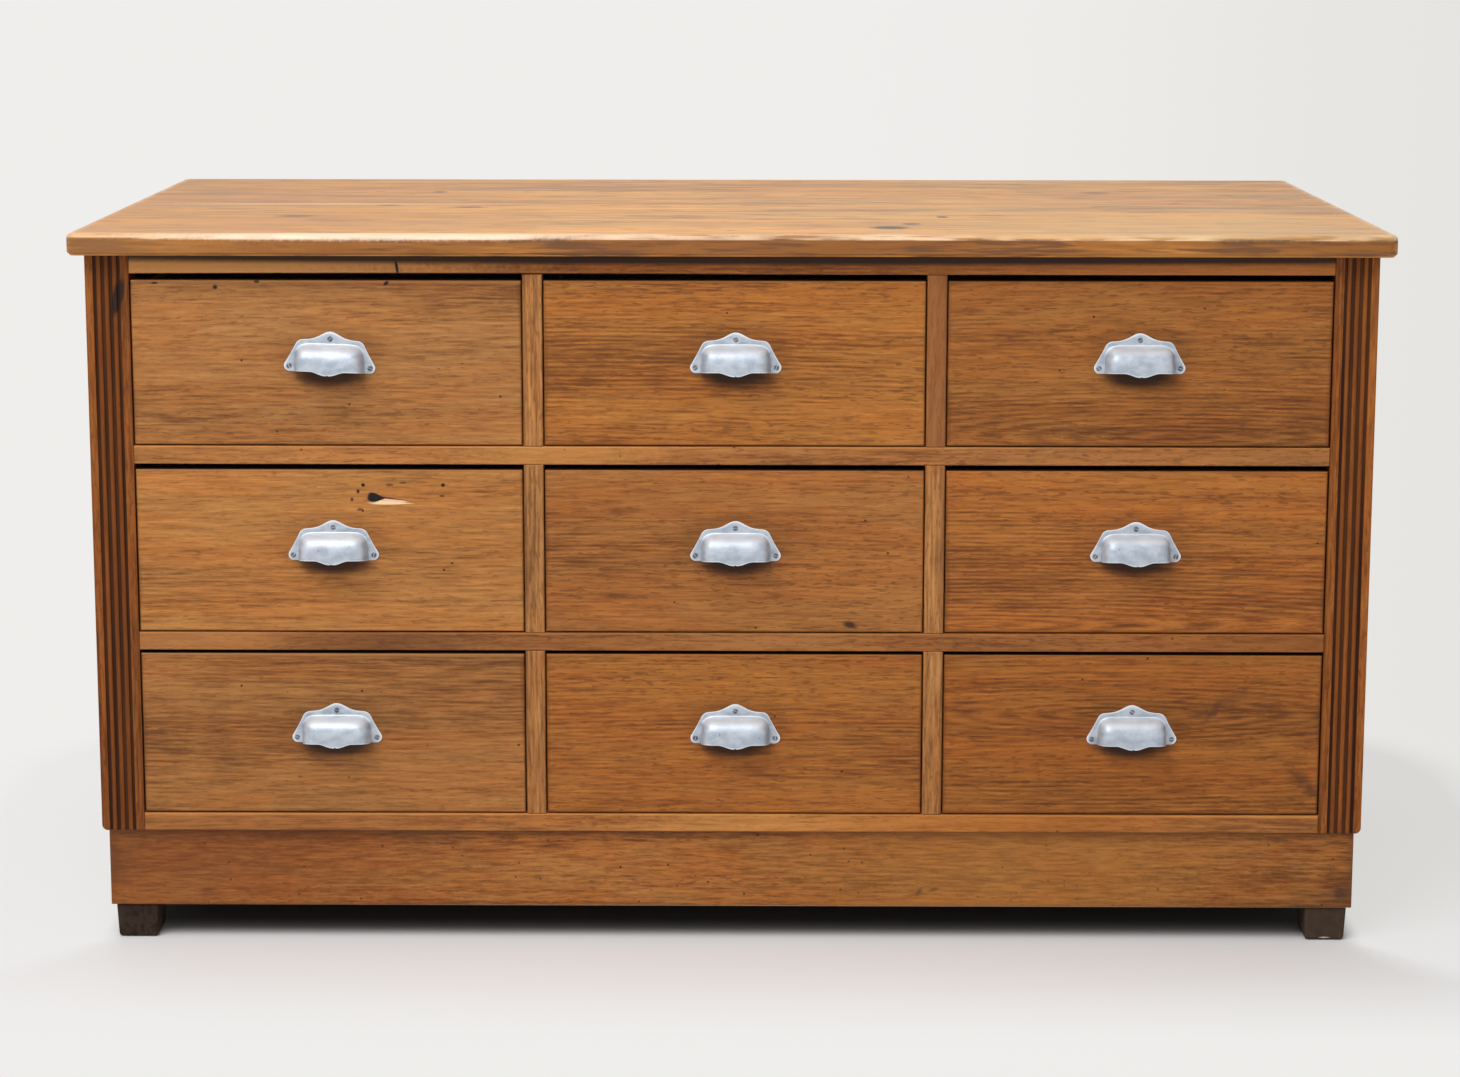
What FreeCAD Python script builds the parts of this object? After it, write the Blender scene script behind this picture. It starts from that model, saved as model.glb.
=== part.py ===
import FreeCAD, Part
import os
import re
import Sketcher
from FreeCAD import Placement, Rotation, Vector

# Counter-height wooden cabinet with nine drawers, in millimetres.
# X runs along the front, the front faces -Y, Z is up and the feet stand on Z = 0.

SIZES = {
    # Worktop
    "top_thickness": 27,
    "top_front_overhang": 28,
    "top_back_overhang": 20,
    "top_end_overhang": 17,
    "top_corner_radius": 12,
    "top_upper_round": 7,
    "top_lower_chamfer": 4,
    # Openings of the front: columns that differ from an equal share, and gaps above the drawers
    "left_column_extra": 6,
    "centre_column_less": 4,
    "top_row_gap": 7.5,
    "middle_row_gap": 6.5,
    "bottom_row_gap": 4,
    # Posts, rails and dividers
    "carcase_width": 1570,
    "carcase_depth": 752,
    "post_width": 53,
    "front_post_depth": 45,
    "back_post_depth": 40,
    "post_toe_round": 7,
    "divider_width": 24,
    "rail_height": 22.5,
    "top_rail_height": 24.5,
    "frame_edge_chamfer": 1.2,
    "tenon_length": 22,
    "tenon_height": 12,
    "front_tenon_thickness": 20,
    "back_tenon_thickness": 14,
    "mortise_end_gap": 1,
    "stub_length": 8,
    "stub_width": 12,
    "stub_depth": 25,
    # Reeds, sunk in a band of the front posts
    "reed_band_start": 9.5,
    "reed_band_width": 33,
    "reed_radius": 3.2,
    # Sides and back
    "side_rail_thickness": 25,
    "side_rail_height": 70,
    "side_tenon_length": 20,
    "side_tenon_thickness": 10,
    "side_tenon_shoulder": 10,
    "panel_setback": 10,
    "panel_thickness": 10,
    "panel_groove": 8,
    "panel_edge_gap": 1,
    "back_board_thickness": 12,
    "back_board_gap": 1,
    "back_rebate": 15,
    "back_tongue_length": 6,
    "back_tongue_thickness": 4,
    # Runners, guides, stops and buttons
    "runner_ledge": 18,
    "runner_groove": 8,
    "runner_tongue_height": 8,
    "runner_tongue_gap": 0.5,
    "guide_height": 20,
    "stop_width": 30,
    "stop_depth": 18,
    "stop_height": 6,
    "stop_inset": 60,
    "stop_gap": 0.3,
    "button_width": 40,
    "button_depth": 35,
    # Plinth and feet
    "plinth_height": 100,
    "plinth_thickness": 22,
    "plinth_front_setback": 10,
    "plinth_end_setback": 6,
    "plinth_edge_chamfer": 2,
    "foot_height": 44,
    "foot_width": 53,
    "foot_depth": 60,
    "foot_inset": 5,
    "foot_taper": 2,
    "foot_block_drop": 10,
    # Drawers
    "drawer_setback": 1,
    "drawer_side_gap": 1.5,
    "drawer_floor_gap": 1.5,
    "drawer_running_gap": 0.25,
    "drawer_front_height": 203,
    "drawer_front_thickness": 22,
    "drawer_edge_chamfer": 1.5,
    "drawer_length": 660,
    "drawer_side_drop": 5,
    "drawer_side_thickness": 14,
    "drawer_back_thickness": 12,
    "drawer_back_margin": 10,
    "drawer_back_drop": 6,
    "drawer_housing": 5,
    "drawer_bottom_thickness": 8,
    "drawer_groove_level": 10,
    "drawer_groove_depth": 6,
    "drawer_groove_gap": 0.5,
    "tail_length": 16,
    "tail_tip_width": 40,
    "tail_root_width": 31,
    # Cup pulls
    "pull_width": 111,
    "pull_peak_height": 50,
    "pull_peak_half_width": 19,
    "pull_peak_round": 6,
    "pull_peak_foot_round": 16,
    "pull_shoulder_height": 39.5,
    "pull_shoulder_inset": 15,
    "pull_shoulder_round": 8,
    "pull_ear_height": 5,
    "pull_ear_round": 4,
    "pull_sheet": 1.5,
    "pull_drop": 90,
    "pull_left_shift": 4,
    "pull_centre_shift": 1.5,
    "pull_right_shift": 0,
    "cup_width": 84,
    "cup_front_width": 68,
    "cup_depth": 25,
    "cup_top": 33,
    "cup_flat_depth": 3,
    "lip_height": 4,
    "lip_drop": 5,
    "lip_drop_half_width": 22,
    "lip_tip_half_width": 6,
    "lip_round": 10,
    "screw_hole_radius": 2,
    "peak_hole_drop": 9,
    "ear_hole_height": 6.5,
    "ear_hole_inset": 6,
    # Extra length of every cutting shape past the face that it leaves
    "overrun": 5,
}

ROWS = ("top", "middle", "bottom")
COLUMNS = ("left", "centre", "right")
TOP_BOARDS = 4
BACK_BOARDS = 8
REEDS = 3
TAILS = 3
HOLE_SIDES = 6

# Places and lengths that follow from the sizes, as expressions
TOP_LENGTH = "(carcase_width + 2 * top_end_overhang)"
TOP_DEPTH = "(carcase_depth + top_front_overhang + top_back_overhang)"
FRONT = f"(top_front_overhang - {TOP_DEPTH} / 2)"
BACK = f"({FRONT} + carcase_depth)"
LEFT = "(-carcase_width / 2)"
RIGHT = "(carcase_width / 2)"
RAIL_BACK = f"({FRONT} + front_post_depth)"
BEARER_FRONT = f"({BACK} - back_post_depth)"
BACK_RAIL_DEPTH = "(back_post_depth - back_board_thickness)"
PLINTH_TOP = "(foot_height + plinth_height)"
ROW_HEIGHT = {row: f"(drawer_floor_gap + drawer_front_height + {row}_row_gap)" for row in ROWS}
RAIL_LEVEL = {"bottom": PLINTH_TOP}
RAIL_LEVEL["lower"] = f"({RAIL_LEVEL['bottom']} + rail_height + {ROW_HEIGHT['bottom']})"
RAIL_LEVEL["upper"] = f"({RAIL_LEVEL['lower']} + rail_height + {ROW_HEIGHT['middle']})"
RAIL_LEVEL["top"] = f"({RAIL_LEVEL['upper']} + rail_height + {ROW_HEIGHT['top']})"
RUNNER_TOP = {
    "bottom": f"({RAIL_LEVEL['bottom']} + rail_height)",
    "middle": f"({RAIL_LEVEL['lower']} + rail_height)",
    "top": f"({RAIL_LEVEL['upper']} + rail_height)",
}
TOP_UNDERSIDE = f"({RAIL_LEVEL['top']} + top_rail_height)"
RAIL_HEIGHT = {"bottom": "rail_height", "lower": "rail_height", "upper": "rail_height",
               "top": "top_rail_height"}
EQUAL_COLUMN = f"((carcase_width - 2 * post_width - 2 * divider_width) / {len(COLUMNS)})"
COLUMN_WIDTH = {
    "left": f"({EQUAL_COLUMN} + left_column_extra)",
    "centre": f"({EQUAL_COLUMN} - centre_column_less)",
    "right": f"({EQUAL_COLUMN} - left_column_extra + centre_column_less)",
}
COLUMN_START = {"left": f"({LEFT} + post_width)"}
COLUMN_START["centre"] = f"({COLUMN_START['left']} + {COLUMN_WIDTH['left']} + divider_width)"
COLUMN_START["right"] = f"({COLUMN_START['centre']} + {COLUMN_WIDTH['centre']} + divider_width)"
DIVIDER_START = (
    f"({COLUMN_START['left']} + {COLUMN_WIDTH['left']})",
    f"({COLUMN_START['centre']} + {COLUMN_WIDTH['centre']})",
)
DRAWER_FACE = f"({FRONT} + drawer_setback)"
DRAWER_INSIDE = f"({DRAWER_FACE} + drawer_front_thickness)"
DRAWER_FLOOR = "(drawer_running_gap + drawer_groove_level)"
DRAWER_SIDE_HEIGHT = "(drawer_front_height - drawer_side_drop)"
DRAWER_BACK_END = f"({DRAWER_FACE} + drawer_length - drawer_back_margin)"
PANEL_REACH = "(panel_groove - panel_edge_gap)"
BOTTOM_REACH = "(drawer_groove_depth - drawer_groove_gap)"
TONGUE_REACH = "(runner_groove - runner_tongue_gap)"
BEARER_RUN = f"({BEARER_FRONT} - {RAIL_BACK})"
FRONT_TENON = f"({FRONT} + (front_post_depth - front_tenon_thickness) / 2)"
BACK_TENON = f"({BEARER_FRONT} + ({BACK_RAIL_DEPTH} - back_tenon_thickness) / 2)"
STUB_DEEP = f"({FRONT} + (front_post_depth - runner_groove - stub_depth) / 2)"
SIDE_TENON_SETBACK = "((side_rail_thickness - side_tenon_thickness) / 2)"
SIDE_TENON_HEIGHT = "(side_rail_height - 2 * side_tenon_shoulder)"
SIDE_RAIL_LEVEL = {"low": PLINTH_TOP, "high": f"({TOP_UNDERSIDE} - side_rail_height)"}
PANEL_OPENING = f"({TOP_UNDERSIDE} - {PLINTH_TOP} - 2 * side_rail_height)"
PULL_UP = "(drawer_floor_gap + pull_drop)"
PULL_ACROSS = {column: f"({COLUMN_START[column]} + {COLUMN_WIDTH[column]} / 2 + pull_{column}_shift)"
               for column in COLUMNS}
PULL_HALF = "(pull_width / 2)"
SHOULDER_HALF = f"({PULL_HALF} - pull_shoulder_inset)"
HOLE_PLACES = {
    "peak": ("0", "pull_peak_height - peak_hole_drop"),
    "left_ear": (f"ear_hole_inset - {PULL_HALF}", "ear_hole_height"),
    "right_ear": (f"{PULL_HALF} - ear_hole_inset", "ear_hole_height"),
}

# How far an edge may lie from the place it is looked for
EDGE_TOLERANCE = 1e-5

doc = FreeCAD.newDocument("drawer_cabinet")
sheet = doc.addObject("Spreadsheet::Sheet", "sizes")
for line, (size_name, size_value) in enumerate(SIZES.items(), start=1):
    sheet.set(f"A{line}", size_name)
    sheet.set(f"B{line}", str(size_value))
    sheet.setAlias(f"B{line}", size_name)
doc.recompute()

nodes = {}


def bound(expression):
    """The expression with every size name pointing at its cell in the sheet."""
    return re.sub(r"[a-z_]+", lambda word: f"sizes.{word[0]}" if word[0] in SIZES else word[0],
                  expression)


def value(expression):
    """The number that an expression of the sizes gives now."""
    return float(sheet.evalExpression(bound(expression)))


def bind(item, **properties):
    """Bind properties of an object to expressions; a double underscore stands for a dot."""
    for name, expression in properties.items():
        item.setExpression(name.replace("__", "."), bound(expression))


def place(item, corner):
    """Bind an object's position to three expressions."""
    across, deep, up = corner
    bind(item, Placement__Base__x=across, Placement__Base__y=deep, Placement__Base__z=up)


def block(name, size, corner):
    """A square-edged block: its size along X, Y and Z, and its lowest corner."""
    box = doc.addObject("Part::Box", name)
    bind(box, Length=size[0], Width=size[1], Height=size[2])
    place(box, corner)
    return box


def body_of_block(name, size):
    """A body that starts as a block with its lowest corner at the body's own origin."""
    body = doc.addObject("PartDesign::Body", name)
    box = body.newObject("PartDesign::AdditiveBox", f"{name}_block")
    bind(box, Length=size[0], Width=size[1], Height=size[2])
    doc.recompute()
    return body


def chosen_edges(body, chosen):
    """A body's last feature with the names of its edges for which the test gives true."""
    edges = enumerate(body.Tip.Shape.Edges, start=1)
    return body.Tip, [f"Edge{number}" for number, edge in edges if chosen(edge)]


def round_edges(body, radius, chosen):
    """Round the edges of a body for which the test gives true."""
    base = chosen_edges(body, chosen)
    fillet = body.newObject("PartDesign::Fillet", f"{body.Name}_round")
    fillet.Base = base
    bind(fillet, Radius=radius)
    doc.recompute()


def chamfer_edges(body, size, chosen):
    """Take off the edges of a body for which the test gives true."""
    base = chosen_edges(body, chosen)
    chamfer = body.newObject("PartDesign::Chamfer", f"{body.Name}_chamfer")
    chamfer.Base = base
    bind(chamfer, Size=size)
    doc.recompute()


def lies_at(axis, expression):
    """A test for edges that lie wholly where the coordinate has the given value."""
    target = value(expression)
    return lambda edge: all(abs(getattr(edge.BoundBox, axis + end) - target) < EDGE_TOLERANCE
                            for end in ("Min", "Max"))


def runs_along(axis):
    """A test for straight edges along one axis."""
    return lambda edge: getattr(edge.BoundBox, axis + "Length") > edge.Length - EDGE_TOLERANCE


def eased_block(name, size, corner, chamfer):
    """A block whose four edges round its front face are eased."""
    body = body_of_block(name, size)
    chamfer_edges(body, chamfer, lies_at("Y", "0"))
    place(body, corner)
    return body


def outline_body(name, role, points, thickness):
    """A body padded from a closed outline, given as pairs of expressions, on one of its origin planes.

    An outline on the XZ plane is padded towards -Y, one on the XY plane towards +Z.
    """
    body = doc.addObject("PartDesign::Body", name)
    sketch = body.newObject("Sketcher::SketchObject", f"{name}_outline")
    plane = next(item for item in body.Origin.OriginFeatures if item.Role == role)
    sketch.AttachmentSupport = (plane, [""])
    sketch.MapMode = "FlatFace"
    corners = [Vector(value(across), value(up), 0) for across, up in points]
    for number, corner in enumerate(corners):
        sketch.addGeometry(Part.LineSegment(corner, corners[(number + 1) % len(corners)]))
    for number in range(len(corners)):
        sketch.addConstraint(Sketcher.Constraint("Coincident", number, 2, (number + 1) % len(corners), 1))
    for number, (across, up) in enumerate(points):
        for kind, expression, axis in (("DistanceX", across, -2), ("DistanceY", up, -1)):
            if expression == "0":
                sketch.addConstraint(Sketcher.Constraint("PointOnObject", number, 1, axis))
            else:
                datum = Sketcher.Constraint(kind, -1, 1, number, 1, value(expression))
                index = sketch.addConstraint(datum)
                sketch.setExpression(f"Constraints[{index}]", bound(expression))
    pad = body.newObject("PartDesign::Pad", f"{name}_pad")
    pad.Profile = sketch
    bind(pad, Length=thickness)
    doc.recompute()
    return body


def round_corners(body, radius, across, up):
    """Round the corners of an outline body that stand at the given X, on both sides, and Z."""
    spots = [(value(across), value(up)), (-value(across), value(up))]

    def at_corner(edge):
        box = edge.BoundBox
        return any(max(abs(box.XMin - x), abs(box.XMax - x), abs(box.ZMin - z), abs(box.ZMax - z))
                   < EDGE_TOLERANCE for x, z in spots)

    round_edges(body, radius, at_corner)


def joined(name, pieces):
    """Several overlapping or touching shapes as one solid."""
    fusion = doc.addObject("Part::MultiFuse", name)
    fusion.Shapes = pieces
    return fusion


def cut(name, base, tools):
    """A shape with one or more cutting shapes taken out of it."""
    result = doc.addObject("Part::Cut", name)
    result.Base = base
    result.Tool = tools[0] if len(tools) == 1 else joined(f"{name}_tools", tools)
    return result


def group(name, pieces):
    """Separate solids that are kept together."""
    compound = doc.addObject("Part::Compound", name)
    compound.Links = pieces
    return compound


def keep(node, item):
    """Name a finished sub-part."""
    item.Label = node
    nodes[node] = item


def end_pair(name, size, start, finish, deep, up):
    """Two equal blocks, one ending at each end of a piece along X: its two tenons."""
    return [
        block(f"{name}_left", size, (f"{start} - {size[0]}", deep, up)),
        block(f"{name}_right", size, (finish, deep, up)),
    ]


def worktop():
    """Edge-glued boards, cut from one blank with rounded corners and softened edges."""
    blank = body_of_block("top_blank", (TOP_LENGTH, TOP_DEPTH, "top_thickness"))
    round_edges(blank, "top_corner_radius", runs_along("Z"))
    round_edges(blank, "top_upper_round", lies_at("Z", "top_thickness"))
    chamfer_edges(blank, "top_lower_chamfer", lies_at("Z", "0"))
    place(blank, (f"-{TOP_LENGTH} / 2", f"-{TOP_DEPTH} / 2", TOP_UNDERSIDE))
    boards = []
    for number in range(TOP_BOARDS):
        front = f"{TOP_DEPTH} * ({number} / {TOP_BOARDS} - 1 / 2)"
        strip = block(f"top_strip_{number}", (TOP_LENGTH, f"{TOP_DEPTH} / {TOP_BOARDS}", "top_thickness"),
                      (f"-{TOP_LENGTH} / 2", front, TOP_UNDERSIDE))
        board = doc.addObject("Part::Common", f"top_board_{number}")
        board.Base = blank
        board.Tool = strip
        boards.append(board)
    keep("top_boards", group("top_boards", boards))


def rail_mortises(post, inner_face, direction, deep, thickness):
    """The mortises for the tenons of the four rails in one post."""
    reach = "(tenon_length + mortise_end_gap)"
    start = inner_face if direction > 0 else f"{inner_face} - {reach}"
    tools = []
    for level, height in RAIL_HEIGHT.items():
        up = f"{RAIL_LEVEL[level]} + ({height} - tenon_height) / 2"
        tools.append(block(f"{post}_mortise_{level}", (reach, thickness, "tenon_height"),
                           (start, deep, up)))
    return tools


def side_mortises(post, outer_face, direction, start):
    """The mortises for two side rails and the groove for the side panel, in one face of a post."""
    mortise = "(side_tenon_length + mortise_end_gap)"
    across = x_inward(outer_face, SIDE_TENON_SETBACK, "side_tenon_thickness")
    deep = start if direction > 0 else f"{start} - {mortise}"
    tools = []
    for name, level in SIDE_RAIL_LEVEL.items():
        tools.append(block(f"{post}_side_mortise_{name}",
                           ("side_tenon_thickness", mortise, SIDE_TENON_HEIGHT),
                           (across, deep, f"{level} + side_tenon_shoulder")))
    groove_start = start if direction > 0 else f"{start} - panel_groove"
    tools.append(block(
        f"{post}_panel_groove",
        ("panel_thickness", "panel_groove", f"{PANEL_OPENING} + 2 * panel_groove"),
        (x_inward(outer_face, "panel_setback", "panel_thickness"), groove_start,
         f"{PLINTH_TOP} + side_rail_height - panel_groove")))
    return tools


def x_inward(outer_face, setback, width):
    """The lower X of a strip that lies the given setback inside the left or right outer face."""
    return f"{outer_face} + {setback}" if outer_face == LEFT else f"{outer_face} - ({setback}) - {width}"


def posts():
    """Two reeded front posts and two plain back posts, morticed for the rails."""
    height = f"{TOP_UNDERSIDE} - {PLINTH_TOP}"
    back_posts = []
    for side, outer in (("left", LEFT), ("right", RIGHT)):
        start = x_inward(outer, "0", "post_width")
        inner = f"({outer} + post_width)" if side == "left" else f"({outer} - post_width)"
        into_post = -1 if side == "left" else 1
        name = f"{side}_front_post"
        blank = body_of_block(f"{name}_blank", ("post_width", "front_post_depth", height))
        toe = lies_at("X", "0" if side == "left" else "post_width")
        round_edges(blank, "post_toe_round", lambda edge: toe(edge) and lies_at("Z", "0")(edge))
        place(blank, (start, FRONT, PLINTH_TOP))
        band_start = x_inward(outer, "reed_band_start", "reed_band_width")
        band = block(f"{name}_band", ("reed_band_width", "reed_radius + overrun", height),
                     (band_start, f"{FRONT} - overrun", PLINTH_TOP))
        sunk = cut(f"{name}_sunk", blank, [band])
        reeds = []
        for number in range(REEDS):
            reed = doc.addObject("Part::Cylinder", f"{name}_reed_{number}")
            bind(reed, Radius="reed_radius", Height=height)
            gap = f"(reed_band_width - {2 * REEDS} * reed_radius) / {REEDS + 1}"
            centre = f"{band_start} + {number + 1} * {gap} + {2 * number + 1} * reed_radius"
            place(reed, (centre, f"{FRONT} + reed_radius", PLINTH_TOP))
            reeds.append(reed)
        tools = rail_mortises(name, inner, into_post, FRONT_TENON, "front_tenon_thickness")
        tools += side_mortises(name, outer, -1, RAIL_BACK)
        keep(name, cut(name, joined(f"{name}_reeded", [sunk] + reeds), tools))
        name = f"{side}_back_post"
        blank = block(f"{name}_blank", ("post_width", "back_post_depth", height),
                      (start, BEARER_FRONT, PLINTH_TOP))
        tools = rail_mortises(name, inner, into_post, BACK_TENON, "back_tenon_thickness")
        tools += side_mortises(name, outer, 1, BEARER_FRONT)
        rebate = x_inward(outer, "post_width - back_rebate", "back_rebate")
        tools.append(block(f"{name}_rebate", ("back_rebate", "back_board_thickness + overrun", height),
                           (rebate, f"{BACK} - back_board_thickness", PLINTH_TOP)))
        back_posts.append(cut(name, blank, tools))
    keep("back_posts", group("back_posts", back_posts))


def rail_groove(name, level, height, deep, length, start):
    """The groove along the inner face of a rail that takes the tongues of runners and buttons."""
    return block(f"{name}_groove", (length, "runner_groove + overrun", "runner_tongue_height"),
                 (start, deep, f"{RAIL_LEVEL[level]} + ({height} - runner_tongue_height) / 2"))


def rails():
    """Front rails with divider mortises and back rails at the same levels, all tenoned and grooved."""
    start = COLUMN_START["left"]
    finish = f"({RIGHT} - post_width)"
    length = "(carcase_width - 2 * post_width)"
    names = {"bottom": "bottom_rail", "lower": "lower_drawer_rail", "upper": "upper_drawer_rail",
             "top": "top_rail"}
    back_rails = []
    for level, height in RAIL_HEIGHT.items():
        name = names[level]
        body = eased_block(f"{name}_body", (length, "front_post_depth", height),
                           (start, FRONT, RAIL_LEVEL[level]), "frame_edge_chamfer")
        up = f"{RAIL_LEVEL[level]} + ({height} - tenon_height) / 2"
        tenons = end_pair(f"{name}_tenon", ("tenon_length", "front_tenon_thickness", "tenon_height"),
                          start, finish, FRONT_TENON, up)
        tools = [rail_groove(name, level, height, f"{RAIL_BACK} - runner_groove", length, start)]
        for number, divider in enumerate(DIVIDER_START):
            mortise = ("stub_width", "stub_depth", "stub_length + overrun")
            across = f"{divider} + (divider_width - stub_width) / 2"
            if level != "top":
                tools.append(block(f"{name}_upper_mortise_{number}", mortise,
                                   (across, STUB_DEEP, f"{RAIL_LEVEL[level]} + {height} - stub_length")))
            if level != "bottom":
                tools.append(block(f"{name}_lower_mortise_{number}", mortise,
                                   (across, STUB_DEEP, f"{RAIL_LEVEL[level]} - overrun")))
        keep(name, cut(name, joined(f"{name}_tenoned", [body] + tenons), tools))
        name = f"back_{name}"
        board = block(f"{name}_board", (length, BACK_RAIL_DEPTH, height),
                      (start, BEARER_FRONT, RAIL_LEVEL[level]))
        tenons = end_pair(f"{name}_tenon", ("tenon_length", "back_tenon_thickness", "tenon_height"),
                          start, finish, BACK_TENON, up)
        groove = rail_groove(name, level, height, f"{BEARER_FRONT} - overrun", length, start)
        back_rails.append(cut(name, joined(f"{name}_tenoned", [board] + tenons), [groove]))
    keep("back_rails", group("back_rails", back_rails))


def dividers():
    """Short uprights between the rails, with a stub tenon at each end."""
    pieces = []
    for row, height in ROW_HEIGHT.items():
        for number, divider in enumerate(DIVIDER_START):
            name = f"{row}_divider_{number}"
            body = eased_block(f"{name}_body", ("divider_width", "front_post_depth", height),
                               (divider, FRONT, RUNNER_TOP[row]), "frame_edge_chamfer")
            stub = block(f"{name}_stub", ("stub_width", "stub_depth", f"{height} + 2 * stub_length"),
                         (f"{divider} + (divider_width - stub_width) / 2", STUB_DEEP,
                          f"{RUNNER_TOP[row]} - stub_length"))
            pieces.append(joined(name, [body, stub]))
    keep("drawer_dividers", group("drawer_dividers", pieces))


def sides():
    """Side rails tenoned into the posts and a panel held loose in their grooves, on both sides."""
    side_rails = []
    groove_up = {"low": f"{PLINTH_TOP} + side_rail_height - panel_groove",
                 "high": f"{SIDE_RAIL_LEVEL['high']} - overrun"}
    for side, outer in (("left", LEFT), ("right", RIGHT)):
        panel_across = x_inward(outer, "panel_setback", "panel_thickness")
        for spot, level in SIDE_RAIL_LEVEL.items():
            name = f"{side}_{spot}_side_rail"
            board = block(f"{name}_board", ("side_rail_thickness", BEARER_RUN, "side_rail_height"),
                          (x_inward(outer, "0", "side_rail_thickness"), RAIL_BACK, level))
            tenon_run = f"{BEARER_RUN} + 2 * side_tenon_length"
            tenon = block(f"{name}_tenon", ("side_tenon_thickness", tenon_run, SIDE_TENON_HEIGHT),
                          (x_inward(outer, SIDE_TENON_SETBACK, "side_tenon_thickness"),
                           f"{RAIL_BACK} - side_tenon_length", f"{level} + side_tenon_shoulder"))
            groove = block(f"{name}_groove", ("panel_thickness", BEARER_RUN, "panel_groove + overrun"),
                           (panel_across, RAIL_BACK, groove_up[spot]))
            side_rails.append(cut(name, joined(f"{name}_tenoned", [board, tenon]), [groove]))
        name = f"{side}_side_panel"
        keep(name, block(
            name,
            ("panel_thickness", f"{BEARER_RUN} + 2 * {PANEL_REACH}",
             f"{PANEL_OPENING} + 2 * {PANEL_REACH}"),
            (panel_across, f"{RAIL_BACK} - {PANEL_REACH}",
             f"{PLINTH_TOP} + side_rail_height - {PANEL_REACH}")))
    keep("side_rails", group("side_rails", side_rails))


def back_boards():
    """Upright tongued and grooved boards that lie in the rebates of the back posts."""
    start = f"({LEFT} + post_width - back_rebate)"
    pitch = f"((carcase_width - 2 * post_width + 2 * back_rebate) / {BACK_BOARDS})"
    height = f"({TOP_UNDERSIDE} - {PLINTH_TOP})"
    tongue_deep = f"{BACK} - (back_board_thickness + back_tongue_thickness) / 2"
    boards = []
    for number in range(BACK_BOARDS):
        name = f"back_board_{number}"
        left = f"({start} + {number} * {pitch} + back_board_gap / 2)"
        right = f"({start} + {number + 1} * {pitch} - back_board_gap / 2)"
        board = block(f"{name}_blank", (f"{pitch} - back_board_gap", "back_board_thickness", height),
                      (left, f"{BACK} - back_board_thickness", PLINTH_TOP))
        if number < BACK_BOARDS - 1:
            tongue = block(f"{name}_tongue",
                           ("back_tongue_length + back_board_gap", "back_tongue_thickness", height),
                           (right, tongue_deep, PLINTH_TOP))
            board = joined(f"{name}_tongued", [board, tongue])
        if number > 0:
            groove_width = "back_tongue_length + back_board_gap + overrun"
            groove = block(f"{name}_groove", (groove_width, "back_tongue_thickness", height),
                           (f"{left} - overrun", tongue_deep, PLINTH_TOP))
            board = cut(name, board, [groove])
        boards.append(board)
    keep("back_boards", group("back_boards", boards))


def bearer(name, level, height, start, width, tongue_start, tongue_width):
    """A strip from the front rail to the back rail, with a tongue in the groove of each."""
    strip = block(f"{name}_strip", (width, BEARER_RUN, height), (start, RAIL_BACK, RAIL_LEVEL[level]))
    tongue = block(f"{name}_tongue",
                   (tongue_width, f"{BEARER_RUN} + 2 * {TONGUE_REACH}", "runner_tongue_height"),
                   (tongue_start, f"{RAIL_BACK} - {TONGUE_REACH}",
                    f"{RAIL_LEVEL[level]} + ({height} - runner_tongue_height) / 2"))
    return joined(name, [strip, tongue])


def bearers():
    """Runners under each row of drawers, kickers above the top row, and guides on the runners."""
    spare = "(post_width - side_rail_thickness)"
    side_runners = []
    centre_runners = []
    kickers = []
    guides = []
    for level, height in RAIL_HEIGHT.items():
        side_set = kickers if level == "top" else side_runners
        centre_set = kickers if level == "top" else centre_runners
        for side, outer, tongue in (("left", LEFT, COLUMN_START["left"]),
                                    ("right", RIGHT, f"{RIGHT} - post_width - runner_ledge")):
            width = f"({spare} + runner_ledge)"
            start = x_inward(outer, "side_rail_thickness", width)
            side_set.append(bearer(f"{side}_{level}_runner", level, height, start, width,
                                   tongue, "runner_ledge"))
        for number, divider in enumerate(DIVIDER_START):
            start = f"{divider} - runner_ledge"
            width = "(divider_width + 2 * runner_ledge)"
            centre_set.append(bearer(f"centre_{level}_runner_{number}", level, height, start, width,
                                     start, width))
    for row in ROWS:
        for side, outer in (("left", LEFT), ("right", RIGHT)):
            start = x_inward(outer, "side_rail_thickness", spare)
            guides.append(block(f"{side}_{row}_guide", (spare, BEARER_RUN, "guide_height"),
                                (start, RAIL_BACK, RUNNER_TOP[row])))
        for number, divider in enumerate(DIVIDER_START):
            guides.append(block(f"centre_{row}_guide_{number}",
                                ("divider_width", BEARER_RUN, "guide_height"),
                                (divider, RAIL_BACK, RUNNER_TOP[row])))
    keep("side_runners", group("side_runners", side_runners))
    keep("centre_runners", group("centre_runners", centre_runners))
    keep("kickers", group("kickers", kickers))
    keep("drawer_guides", group("drawer_guides", guides))


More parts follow.
